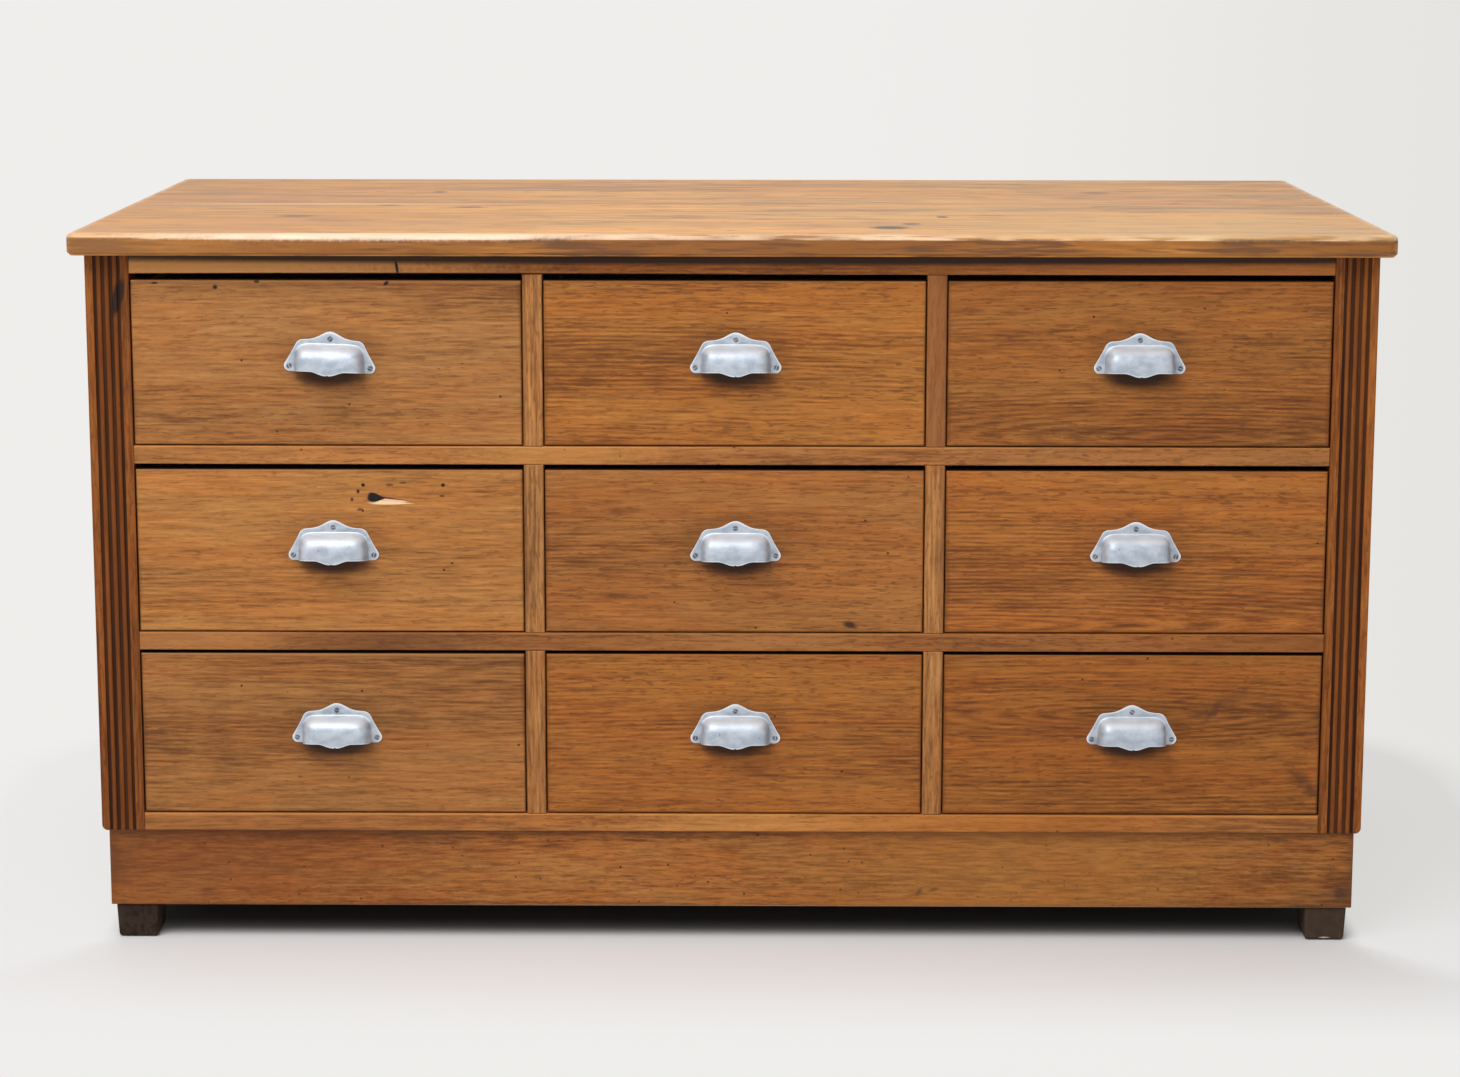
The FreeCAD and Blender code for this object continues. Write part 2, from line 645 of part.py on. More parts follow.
def stops_and_buttons():
    """Two stops behind each drawer front, and the buttons that hold the top down."""
    stops = []
    buttons = []
    button_up = f"{RAIL_LEVEL['top']} + (top_rail_height - runner_tongue_height) / 2"
    for column in COLUMNS:
        for row in ROWS:
            for number, across in enumerate((
                    f"{COLUMN_START[column]} + stop_inset",
                    f"{COLUMN_START[column]} + {COLUMN_WIDTH[column]} - stop_inset - stop_width")):
                stops.append(block(f"{row}_{column}_stop_{number}",
                                   ("stop_width", "stop_depth", "stop_height"),
                                   (across, f"{DRAWER_INSIDE} + stop_gap", RUNNER_TOP[row])))
        across = f"{COLUMN_START[column]} + ({COLUMN_WIDTH[column]} - button_width) / 2"
        for end, deep, tongue in (("front", RAIL_BACK, f"{RAIL_BACK} - {TONGUE_REACH}"),
                                  ("back", f"{BEARER_FRONT} - button_depth", BEARER_FRONT)):
            name = f"{column}_{end}_button"
            head_height = f"{TOP_UNDERSIDE} - ({button_up})"
            head = block(f"{name}_head", ("button_width", "button_depth", head_height),
                         (across, deep, button_up))
            lug = block(f"{name}_lug", ("button_width", TONGUE_REACH, "runner_tongue_height"),
                        (across, tongue, button_up))
            buttons.append(joined(name, [head, lug]))
    keep("drawer_stops", group("drawer_stops", stops))
    keep("top_buttons", group("top_buttons", buttons))


def plinth():
    """Four boards lapped at the corners, and four tapered feet whose blocks stand inside those corners."""
    length = "(carcase_width - 2 * plinth_end_setback)"
    front = f"({FRONT} + plinth_front_setback)"
    back = f"({BACK} - plinth_front_setback)"
    left = f"({LEFT} + plinth_end_setback)"
    right = f"({RIGHT} - plinth_end_setback)"
    lap = "(plinth_thickness / 2)"
    inner_back = f"({back} - plinth_thickness)"
    for name, deep, lap_deep in (("plinth_front_board", front, f"{front} + {lap}"),
                                 ("plinth_back_board", inner_back, f"{inner_back} - overrun")):
        board = body_of_block(f"{name}_blank", (length, "plinth_thickness", "plinth_height"))
        face = "0" if name == "plinth_front_board" else "plinth_thickness"
        chamfer_edges(board, "plinth_edge_chamfer", lies_at("Y", face))
        place(board, (left, deep, "foot_height"))
        lap_size = ("plinth_thickness + overrun", f"{lap} + overrun", "plinth_height")
        laps = [block(f"{name}_lap_{end}", lap_size, (across, lap_deep, "foot_height"))
                for end, across in (("left", f"{left} - overrun"),
                                    ("right", f"{right} - plinth_thickness"))]
        keep(name, cut(name, board, laps))
    side_boards = []
    for side, across in (("left", left), ("right", f"{right} - plinth_thickness")):
        side_boards.append(block(f"plinth_{side}_board",
                                 ("plinth_thickness", f"{back} - {front} - 2 * {lap}", "plinth_height"),
                                 (across, f"{front} + {lap}", "foot_height")))
    keep("plinth_side_boards", group("plinth_side_boards", side_boards))
    feet = []
    for side, edge in (("left", left), ("right", right)):
        for end, face in (("front", front), ("back", back)):
            name = f"{side}_{end}_foot"
            across = f"{edge} + foot_inset"
            if side == "right":
                across = f"{edge} - foot_inset - foot_width"
            far_face = f"{face} + foot_inset + foot_depth" if end == "front" else f"{face} - foot_inset"
            toe = doc.addObject("Part::Wedge", f"{name}_toe")
            toe.Placement = Placement(Vector(), Rotation(Vector(1, 0, 0), 90))
            bind(toe, Xmin="foot_taper", Xmax="foot_width - foot_taper", Ymin="0", Ymax="foot_height",
                 Zmin="foot_taper", Zmax="foot_depth - foot_taper", X2min="0", X2max="foot_width",
                 Z2min="0", Z2max="foot_depth")
            place(toe, (across, far_face, "0"))
            inner = "(plinth_thickness - foot_inset)"
            shoulder = (f"foot_width - {inner}", f"foot_depth - {inner}", "plinth_height - foot_block_drop")
            corner = (f"{across} + {inner}" if side == "left" else across,
                      f"{face} + plinth_thickness" if end == "front" else f"{far_face} - foot_depth",
                      "foot_height")
            feet.append(joined(name, [toe, block(f"{name}_block", shoulder, corner)]))
    keep("feet", group("feet", feet))


def cup_solid(name, inset, extra):
    """The cup as a solid with drafted ends and a round nose.

    The hollow of the cup is the same form, inset by the sheet and with extra length at its open sides.
    """
    draft = "((cup_width - cup_front_width) / (2 * cup_depth))"
    nose = f"({inset} - cup_depth)"
    low = f"(lip_height - lip_drop - {extra})"
    height = f"(cup_top - {inset} - {low})"

    def half_width(deep):
        return f"(cup_width / 2 + {draft} * {deep} - {inset} * sqrt(1 + {draft} ^ 2))"

    body = outline_body(name, "XY_Plane", [
        (f"-{half_width(nose)}", nose), (half_width(nose), nose),
        (half_width(extra), extra), (f"-{half_width(extra)}", extra)], height)
    at_nose = lies_at("Y", nose)
    at_top = lies_at("Z", height)
    round_edges(body, f"cup_depth - cup_flat_depth - {inset}",
                lambda edge: at_nose(edge) and at_top(edge))
    place(body, ("0", "0", low))
    return body


def cup_pull():
    """A pressed cup pull: a plate with a peak and two ears, and a cup with a dropped lip, of one sheet."""
    plate = outline_body("pull_plate", "XZ_Plane", [
        (PULL_HALF, "0"), (PULL_HALF, "pull_ear_height"), (SHOULDER_HALF, "pull_shoulder_height"),
        ("pull_peak_half_width", "pull_shoulder_height"), ("0", "pull_peak_height"),
        ("-pull_peak_half_width", "pull_shoulder_height"), (f"-{SHOULDER_HALF}", "pull_shoulder_height"),
        (f"-{PULL_HALF}", "pull_ear_height"), (f"-{PULL_HALF}", "0")], "pull_sheet")
    round_corners(plate, "pull_ear_round", PULL_HALF, "0")
    round_corners(plate, "pull_ear_round", PULL_HALF, "pull_ear_height")
    round_corners(plate, "pull_shoulder_round", SHOULDER_HALF, "pull_shoulder_height")
    round_corners(plate, "pull_peak_foot_round", "pull_peak_half_width", "pull_shoulder_height")
    round_corners(plate, "pull_peak_round", "0", "pull_peak_height")
    low = "lip_height - lip_drop - overrun"
    wide = f"({PULL_HALF} + overrun)"
    lip = outline_body("pull_lip_cut", "XZ_Plane", [
        (f"-{wide}", low), (wide, low), (wide, "lip_height"), ("lip_drop_half_width", "lip_height"),
        ("lip_tip_half_width", "lip_height - lip_drop"), ("-lip_tip_half_width", "lip_height - lip_drop"),
        ("-lip_drop_half_width", "lip_height"), (f"-{wide}", "lip_height")], "cup_depth + overrun")
    round_corners(lip, "lip_round", "lip_drop_half_width", "lip_height")
    round_corners(lip, "lip_round", "lip_tip_half_width", "lip_height - lip_drop")
    cup = cut("pull_cup", cup_solid("pull_cup_outside", "0", "0"), [lip])
    tools = [cup_solid("pull_cup_hollow", "pull_sheet", "overrun")]
    for spot, (across, up) in HOLE_PLACES.items():
        hole = doc.addObject("Part::Prism", f"pull_hole_{spot}")
        hole.Polygon = HOLE_SIDES
        hole.Placement = Placement(Vector(), Rotation(Vector(1, 0, 0), -90))
        bind(hole, Circumradius="screw_hole_radius", Height="pull_sheet + 2 * overrun")
        place(hole, (across, "-pull_sheet - overrun", up))
        tools.append(hole)
    return cut("pull_pattern", joined("pull_whole", [plate, cup]), tools)


def drawer_tails(name, across):
    """Dovetails on the front end of a drawer side, widest at their tips."""
    tails = []
    for number in range(TAILS):
        tail = doc.addObject("Part::Wedge", f"{name}_tail_{number}")
        bind(tail, Xmin="0", Xmax="drawer_side_thickness", X2min="0", X2max="drawer_side_thickness",
             Ymin="0", Ymax="tail_length", Zmin="-tail_tip_width / 2", Zmax="tail_tip_width / 2",
             Z2min="-tail_root_width / 2", Z2max="tail_root_width / 2")
        place(tail, (across, f"{DRAWER_INSIDE} - tail_length",
                     f"drawer_running_gap + {DRAWER_SIDE_HEIGHT} * {2 * number + 1} / {2 * TAILS}"))
        tails.append(tail)
    return tails


def drawer_patterns(column):
    """Front, box and bottom of the drawers of one column, standing with their runner line on Z = 0."""
    start = f"({COLUMN_START[column]} + drawer_side_gap)"
    width = f"({COLUMN_WIDTH[column]} - 2 * drawer_side_gap)"
    inside = f"({start} + drawer_side_thickness)"
    inside_width = f"({width} - 2 * drawer_side_thickness)"
    groove_top = f"({DRAWER_FLOOR} + drawer_bottom_thickness)"
    side_run = "drawer_length - drawer_front_thickness"
    back_deep = f"({DRAWER_BACK_END} - drawer_back_thickness)"
    walls = []
    sockets = []
    for hand, across, housing in (
            ("left", start, f"{inside} - drawer_housing"),
            ("right", f"{inside} + {inside_width}", f"{inside} + {inside_width}")):
        name = f"{column}_{hand}_drawer_side"
        tails = drawer_tails(name, across)
        sockets += tails
        board = block(f"{name}_board", ("drawer_side_thickness", side_run, DRAWER_SIDE_HEIGHT),
                      (across, DRAWER_INSIDE, "drawer_running_gap"))
        groove_across = f"{inside} - drawer_groove_depth" if hand == "left" else housing
        groove_run = f"{side_run} + drawer_groove_depth + overrun"
        groove = block(f"{name}_groove", ("drawer_groove_depth", groove_run, "drawer_bottom_thickness"),
                       (groove_across, f"{DRAWER_INSIDE} - drawer_groove_depth", DRAWER_FLOOR))
        slot = block(f"{name}_housing", ("drawer_housing", "drawer_back_thickness", DRAWER_SIDE_HEIGHT),
                     (housing, back_deep, groove_top))
        walls.append(cut(name, joined(f"{name}_tailed", [board] + tails), [groove, slot]))
    back_height = f"drawer_running_gap + {DRAWER_SIDE_HEIGHT} - drawer_back_drop - {groove_top}"
    walls.append(block(f"{column}_drawer_back",
                       (f"{inside_width} + 2 * drawer_housing", "drawer_back_thickness", back_height),
                       (f"{inside} - drawer_housing", back_deep, groove_top)))
    bottom = block(f"{column}_drawer_bottom",
                   (f"{inside_width} + 2 * {BOTTOM_REACH}",
                    f"{DRAWER_BACK_END} - {DRAWER_INSIDE} + {BOTTOM_REACH}", "drawer_bottom_thickness"),
                   (f"{inside} - {BOTTOM_REACH}", f"{DRAWER_INSIDE} - {BOTTOM_REACH}", DRAWER_FLOOR))
    blank = eased_block(f"{column}_drawer_front_blank",
                        (width, "drawer_front_thickness", "drawer_front_height"),
                        (start, DRAWER_FACE, "drawer_floor_gap"), "drawer_edge_chamfer")
    groove = block(f"{column}_drawer_front_groove",
                   (f"{inside_width} + 2 * drawer_groove_depth", "drawer_groove_depth + overrun",
                    "drawer_bottom_thickness"),
                   (f"{inside} - drawer_groove_depth", f"{DRAWER_INSIDE} - drawer_groove_depth",
                    DRAWER_FLOOR))
    front = cut(f"{column}_drawer_front", blank, sockets + [groove])
    box = group(f"{column}_drawer_box", walls)
    return {"drawer_front": front, "drawer_box": box, "drawer_bottom": bottom}


def drawers():
    """The nine drawers, each with its front, box, bottom and cup pull."""
    pull = cup_pull()
    for column in COLUMNS:
        patterns = drawer_patterns(column)
        for row in ROWS:
            for kind, pattern in patterns.items():
                copy = group(f"{row}_{column}_{kind}", [pattern])
                place(copy, ("0", "0", RUNNER_TOP[row]))
                keep(f"{row}_{column}_{kind}", copy)
            fitted = group(f"{row}_{column}_cup_pull", [pull])
            place(fitted, (PULL_ACROSS[column], DRAWER_FACE, f"{RUNNER_TOP[row]} + {PULL_UP}"))
            keep(f"{row}_{column}_cup_pull", fitted)


worktop()
posts()
rails()
dividers()
sides()
back_boards()
bearers()
stops_and_buttons()
plinth()
drawers()
doc.recompute()

for item in doc.Objects:
    if "Invalid" in item.State or "Error" in item.State:
        raise RuntimeError(f"{item.Label} did not build: {item.State}")
for node, item in nodes.items():
    if item.Shape.isNull() or not item.Shape.isValid() or not item.Shape.Solids:
        raise RuntimeError(f"{node} has no valid solid")

os.makedirs("parts", exist_ok=True)
for node, item in nodes.items():
    item.Shape.exportStep(f"parts/{node}.step")
print(f"{len(nodes)} nodes written")
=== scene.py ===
"""Old oak cabinet with nine drawers: wood finishes, pressed zinc cup pulls, screws and a pale studio."""
import logging
import math
from dataclasses import dataclass
from enum import Enum

import bpy
import numpy as np
from mathutils import Euler, Matrix, Vector


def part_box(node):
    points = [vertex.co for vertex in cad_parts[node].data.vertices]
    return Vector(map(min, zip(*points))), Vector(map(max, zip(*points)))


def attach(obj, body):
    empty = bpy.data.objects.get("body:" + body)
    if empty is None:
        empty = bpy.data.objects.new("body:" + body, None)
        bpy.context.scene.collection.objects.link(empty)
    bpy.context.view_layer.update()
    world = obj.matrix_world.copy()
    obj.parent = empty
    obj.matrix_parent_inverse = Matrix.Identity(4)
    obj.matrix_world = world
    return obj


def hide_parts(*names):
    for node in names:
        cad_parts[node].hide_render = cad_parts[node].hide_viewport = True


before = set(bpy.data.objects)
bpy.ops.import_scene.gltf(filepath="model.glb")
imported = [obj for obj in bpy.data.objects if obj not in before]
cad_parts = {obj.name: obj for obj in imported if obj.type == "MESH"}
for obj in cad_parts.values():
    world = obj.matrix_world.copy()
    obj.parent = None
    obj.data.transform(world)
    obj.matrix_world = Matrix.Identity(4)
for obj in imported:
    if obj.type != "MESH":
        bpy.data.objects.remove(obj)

Colour = tuple[float, float, float]
Triple = tuple[float, float, float]
Pair = tuple[float, float]
Step = tuple[float, ...]
Inputs = dict[str | int, object]
Tree = bpy.types.NodeTree

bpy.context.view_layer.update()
NO_SHIFT = (0.0, 0.0, 0.0)
SAME_SIZE = (1.0, 1.0, 1.0)
DRAWER_FACE = -0.371
MARK_DEPTH = 0.006
BROAD_DEPTH = 0.010
SMOOTH_OUTLINE = 0.3
log = logging.getLogger("drawer_cabinet")


def paint(red: float, green: float, blue: float) -> Colour:
    """Turns a colour as it looks on a screen into the linear colour that a shader takes.

    Args:
        red: Red from 0 to 255.
        green: Green from 0 to 255.
        blue: Blue from 0 to 255.

    Returns:
        The linear colour.
    """
    part = np.array([red, green, blue]) / 255.0
    linear = np.where(part <= 0.04045, part / 12.92, ((part + 0.055) / 1.055) ** 2.4)
    return tuple(float(value) for value in linear)


def shade(colour: Colour, factors: Triple) -> Colour:
    """Multiplies a colour by a factor for each part, kept within 0 and 1."""
    return tuple(min(1.0, max(0.0, part * factor)) for part, factor in zip(colour, factors))


def add_node(tree: Tree, kind: str, inputs: Inputs, **settings: object) -> bpy.types.Node:
    """Adds one node to a tree.

    Args:
        tree: The tree.
        kind: Type name of the node.
        inputs: Numbers, triples, colours and terms for its inputs, by name or index.
        settings: Values for its own properties.

    Returns:
        The new node.
    """
    made = tree.nodes.new(kind)
    for key, value in settings.items():
        setattr(made, key, value)
    for key, value in inputs.items():
        socket = made.inputs[key]
        if isinstance(value, Term):
            tree.links.new(value.socket, socket)
        elif value is not None:
            socket.default_value = (*value, 1.0) if socket.type == "RGBA" else value
    return made


@dataclass(frozen=True)
class Term:
    """A number, triple, colour or shader that a node tree works out, and the sums written on it."""

    tree: Tree
    socket: bpy.types.NodeSocket

    def made(self, kind: str, inputs: Inputs, output: str | int = 0, **settings: object) -> "Term":
        """Adds one node to the tree and gives one of its outputs."""
        return Term(self.tree, add_node(self.tree, kind, inputs, **settings).outputs[output])

    def sum(self, operation: str, other: object = None, first: bool = False) -> "Term":
        """Works out a named sum with another value, or on this value alone.

        Args:
            operation: Name of the sum.
            other: The other number or triple.
            first: Whether the other value comes first.

        Returns:
            The result, a triple where this is one.
        """
        kind = "ShaderNodeMath" if self.socket.type == "VALUE" else "ShaderNodeVectorMath"
        return self.made(kind, {0: other, 1: self} if first else {0: self, 1: other}, operation=operation)

    def __add__(self, other: object) -> "Term":
        """Adds a value."""
        return self.sum("ADD", other)

    def __sub__(self, other: object) -> "Term":
        """Takes a value away."""
        return self.sum("SUBTRACT", other)

    def __rsub__(self, other: object) -> "Term":
        """Takes this away from a plain number."""
        return self.sum("SUBTRACT", other, first=True)

    def __mul__(self, other: object) -> "Term":
        """Multiplies by a value."""
        return self.sum("MULTIPLY", other)

    def __truediv__(self, other: object) -> "Term":
        """Divides by a value."""
        return self.sum("DIVIDE", other)

    def most(self, other: object) -> "Term":
        """Gives the greater of two values."""
        return self.sum("MAXIMUM", other)

    def size(self) -> "Term":
        """Drops the sign."""
        return self.sum("ABSOLUTE")

    def length(self) -> "Term":
        """Gives the length of a triple."""
        return self.made("ShaderNodeVectorMath", {0: self}, "Value", operation="LENGTH")

    def parts(self) -> list["Term"]:
        """Splits a triple into its three numbers."""
        split = add_node(self.tree, "ShaderNodeSeparateXYZ", {0: self})
        return [Term(self.tree, socket) for socket in split.outputs]

    def turn(self, shift: Triple, rotation: Triple, scale: Triple = SAME_SIZE, kind: str = "POINT") -> "Term":
        """Moves, turns and scales a place, or for TEXTURE undoes that, to centre a pattern on a spot."""
        inputs = {"Vector": self, "Location": shift, "Rotation": rotation, "Scale": scale}
        return self.made("ShaderNodeMapping", inputs, vector_type=kind)

    def noise(self, stretch: Triple, detail: float = 2.0, blur: float = 0.5, output: str = "Fac") -> "Term":
        """Gives cloudy noise at a place, by patches in each metre, finer layers and their strength."""
        inputs = {"Vector": self * stretch, "Scale": 1.0, "Detail": detail, "Roughness": blur}
        return self.made("ShaderNodeTexNoise", inputs, output)

    def step(self, low: object, high: object, start: float = 0.0, end: float = 1.0) -> "Term":
        """Goes smoothly from start to end while this number goes from low to high."""
        inputs = dict(enumerate((self, low, high, start, end)))
        return self.made("ShaderNodeMapRange", inputs, interpolation_type="SMOOTHSTEP")

    def mix(self, first: object, second: object, mode: str = "MIX") -> "Term":
        """Blends two colours, with this number as the second one's share."""
        inputs = {0: self, 6: first, 7: second}
        return self.made("ShaderNodeMix", inputs, 2, data_type="RGBA", blend_type=mode)

    def blend(self, first: "Term", second: "Term") -> "Term":
        """Blends two shaders, with this number as the second one's share."""
        return self.made("ShaderNodeMixShader", {0: self, 1: first, 2: second})

    def bump(self, distance: float, strength: float) -> "Term":
        """Gives a normal that is tilted by this height, where a full step is so many metres high."""
        return self.made("ShaderNodeBump", {"Strength": strength, "Distance": distance, "Height": self})

    def finish(self, kind: str = "ShaderNodeOutputMaterial") -> None:
        """Ends the tree in this shader."""
        add_node(self.tree, kind, {"Surface": self})


def source(tree: Tree, kind: str, output: str, **settings: object) -> Term:
    """Adds a node that has no inputs and gives one of its outputs."""
    return Term(tree, add_node(tree, kind, {}, **settings).outputs[output])


def new_material(name: str) -> tuple[bpy.types.Material, Term]:
    """Makes an empty material.

    Args:
        name: Its name.

    Returns:
        The material, and the place on its object in metres.
    """
    made = bpy.data.materials.new(name)
    made.use_nodes = True
    made.node_tree.nodes.clear()
    return made, source(made.node_tree, "ShaderNodeTexCoord", "Object")


class Grain(Enum):
    """Which way the fibres of a board run, as the turn that lays them along X."""

    ACROSS = (0.0, 0.0, 0.0)
    DEEP = (0.0, 0.0, -math.pi / 2)
    UPRIGHT = (0.0, math.pi / 2, 0.0)


class MarkShape(Enum):
    """The outline of a mark on the wood: an oval, or a drop, blunt at one end and run out to a tip."""

    ROUND = "round"
    DROP = "drop"


@dataclass(frozen=True)
class Mark:
    """A stain, hole, split or scuff at one spot of a board, or a painted shadow, shade or pool of light
    there.
    """

    centre: Triple
    reach: Triple
    colour: Colour
    soft: float = 0.35
    strength: float = 1.0
    turn: float = 0.0
    shape: MarkShape = MarkShape.ROUND
    fray: float = 1.6
    tip: float = 0.05

    def mask(self, at: Term, ragged: Term) -> Term:
        """Works out where the mark shows, within its outline frayed by noise.

        An oval is |p| < 1. A drop is x^2 + (z / (1.05 - x))^2 < 1, with its tip at x = 1.

        Args:
            at: The place.
            ragged: Noise that frays the outline.

        Returns:
            The mark's strength inside and 0 outside.
        """
        spot = at.turn(self.centre, (0.0, self.turn, 0.0), self.reach, "TEXTURE")
        if self.shape is MarkShape.ROUND:
            far = spot.length()
        else:
            along, inward, over = spot.parts()
            narrowed = over / (1.0 + self.tip - along).most(self.tip)
            far = (along * along + narrowed * narrowed).sum("SQRT").most(inward.size())
        frayed = far + ragged * (self.soft * self.fray)
        return frayed.step(1.0 - self.soft, 1.0 + self.soft, self.strength, 0.0)


def marks_on(face: float, depth: float, *rows: tuple) -> tuple[Mark, ...]:
    """Makes marks on an upright face.

    Args:
        face: Where the face lies along Y.
        depth: How deep the marks go into the wood.
        rows: Middle x and z, half width, half height and tone on a screen of each mark, then any of its
            softness, strength, turn and shape.

    Returns:
        The marks.
    """
    return tuple(Mark((x, face, z), (wide, depth, high), paint(*tone), *more)
                 for x, z, wide, high, tone, *more in rows)


@dataclass(frozen=True)
class ReedBand:
    """The sunk band of a reeded post: where it lies, where its hollows start, and how dark they are."""

    middle: float
    half: float
    crest: float
    floor: float
    blur: float = 0.0006
    stain: Colour = paint(104, 53, 17)
    stain_step: Step = (0.35, 0.65, 0.85, 0.45)
    soot: Colour = paint(37, 18, 7)
    soot_step: Step = (0.30, 0.66, 0.98, 0.72)

    def tint(self, colour: Term, at: Term, streak: Term) -> Term:
        """Stains the band and blackens its hollows.

        Args:
            colour: The wood's colour.
            at: The place.
            streak: Pattern that makes the soot uneven.

        Returns:
            The tinted colour.
        """
        across, depth, _ = at.parts()
        band = (across - self.middle).size().step(self.half - self.blur, self.half + self.blur, 1.0, 0.0)
        colour = (band * streak.step(*self.stain_step)).mix(colour, self.stain)
        sunk = band * depth.step(self.crest, self.floor)
        return (sunk * streak.step(*self.soot_step)).mix(colour, self.soot)


@dataclass(frozen=True)
class ArrisWearAndHighlight:
    """A rounded upper edge that is rubbed pale and given a painted highlight, with a painted shadow line low
    on the rounding, over an edge face painted darker than the top.
    """

    # Pale colour of the rounding: wear with painted highlight.
    worn: Colour
    face: Triple
    dark: Colour
    rounding: float
    inward: float
    grain: Triple = (12.0, 190.0, 190.0)
    patches: Triple = (6.0, 34.0, 34.0)
    dark_step: Step = (0.46, 0.64, 0.0, 0.85)
    rub_and_lit_step: Step = (0.50, 0.60, 1.0, 0.25)
    patch_step: Step = (0.40, 0.58, 1.0, 0.40)
    below_from: float = 0.90
    below_to: float = 1.10
    rub_and_lit_to: float = 1.05
    rub_and_lit_full: float = 0.4
    shade_line_level: float = 0.85
    shade_line_step: Step = (0.0006, 0.0018, 0.85, 0.0)
    shade_line_patch: Step = (0.50, 0.60)

    def tint(self, colour: Term, near: Term, under_top: Term, at: Term) -> Term:
        """Darkens the edge face, paints the rounding pale as wear and highlight, broken up along the grain,
        and paints a dark shadow line low on the rounding.

        Args:
            colour: The wood's colour.
            near: Distance to the nearest edge.
            under_top: Distance under the upper face.
            at: The place, for the fine grain of the edge.

        Returns:
            The tinted colour.
        """
        grain = at.noise(self.grain, 2.0, 0.65)
        patch = at.noise(self.patches, 3.0, 0.6)
        below = under_top.step(self.rounding * self.below_from, self.rounding * self.below_to)
        colour = below.mix(colour, self.face, "MULTIPLY")
        colour = (below * (grain + (patch - 0.5)).step(*self.dark_step)).mix(colour, self.dark)
        line_level = self.rounding * self.shade_line_level
        # Pale band on the rounding: wear with painted highlight.
        rubbed = under_top.step(line_level, self.rounding * self.rub_and_lit_to, 1.0, 0.0)
        rubbed = rubbed * near.step(self.inward * self.rub_and_lit_full, self.inward, 1.0, 0.0)
        rubbed = rubbed * grain.step(*self.rub_and_lit_step) * patch.step(*self.patch_step)
        colour = rubbed.mix(colour, self.worn)
        # Painted shadow line low on the rounding, in patches.
        shade_line = (under_top - line_level).size().step(*self.shade_line_step) * patch.step(*self.shade_line_patch)
        return shade_line.mix(colour, self.dark)


@dataclass(frozen=True)
class OakScale:
    """How often each pattern repeats in a metre, along and across the fibres, and how far it sways."""

    long_sway: Triple = (0.8, 3.5, 3.5)
    long_reach: float = 0.024
    short_sway: Triple = (3.0, 15.0, 15.0)
    short_reach: float = 0.0040
    fibre: Triple = (19.0, 300.0, 300.0)
    streak: Triple = (1.8, 60.0, 60.0)
    blotch: Triple = (1.3, 9.0, 9.0)
    warm: Triple = (4.5, 24.0, 24.0)
    dash: Triple = (64.0, 400.0, 400.0)
    speck: Triple = (70.0, 230.0, 230.0)
    ragged: Triple = (190.0, 190.0, 190.0)


@dataclass(frozen=True)
class WoodPattern:
    """The patterns that a board's colour and bump are mixed from, and the board's own random number."""

    ring: Term
    fibre: Term
    streak: Term
    blotch: Term
    warm: Term
    dash: Term
    speck: Term
    own: Term


@dataclass(frozen=True)
class Board:
    """The place on a node's wood, and the node's lowest and highest corners."""

    at: Term
    low: Vector
    high: Vector


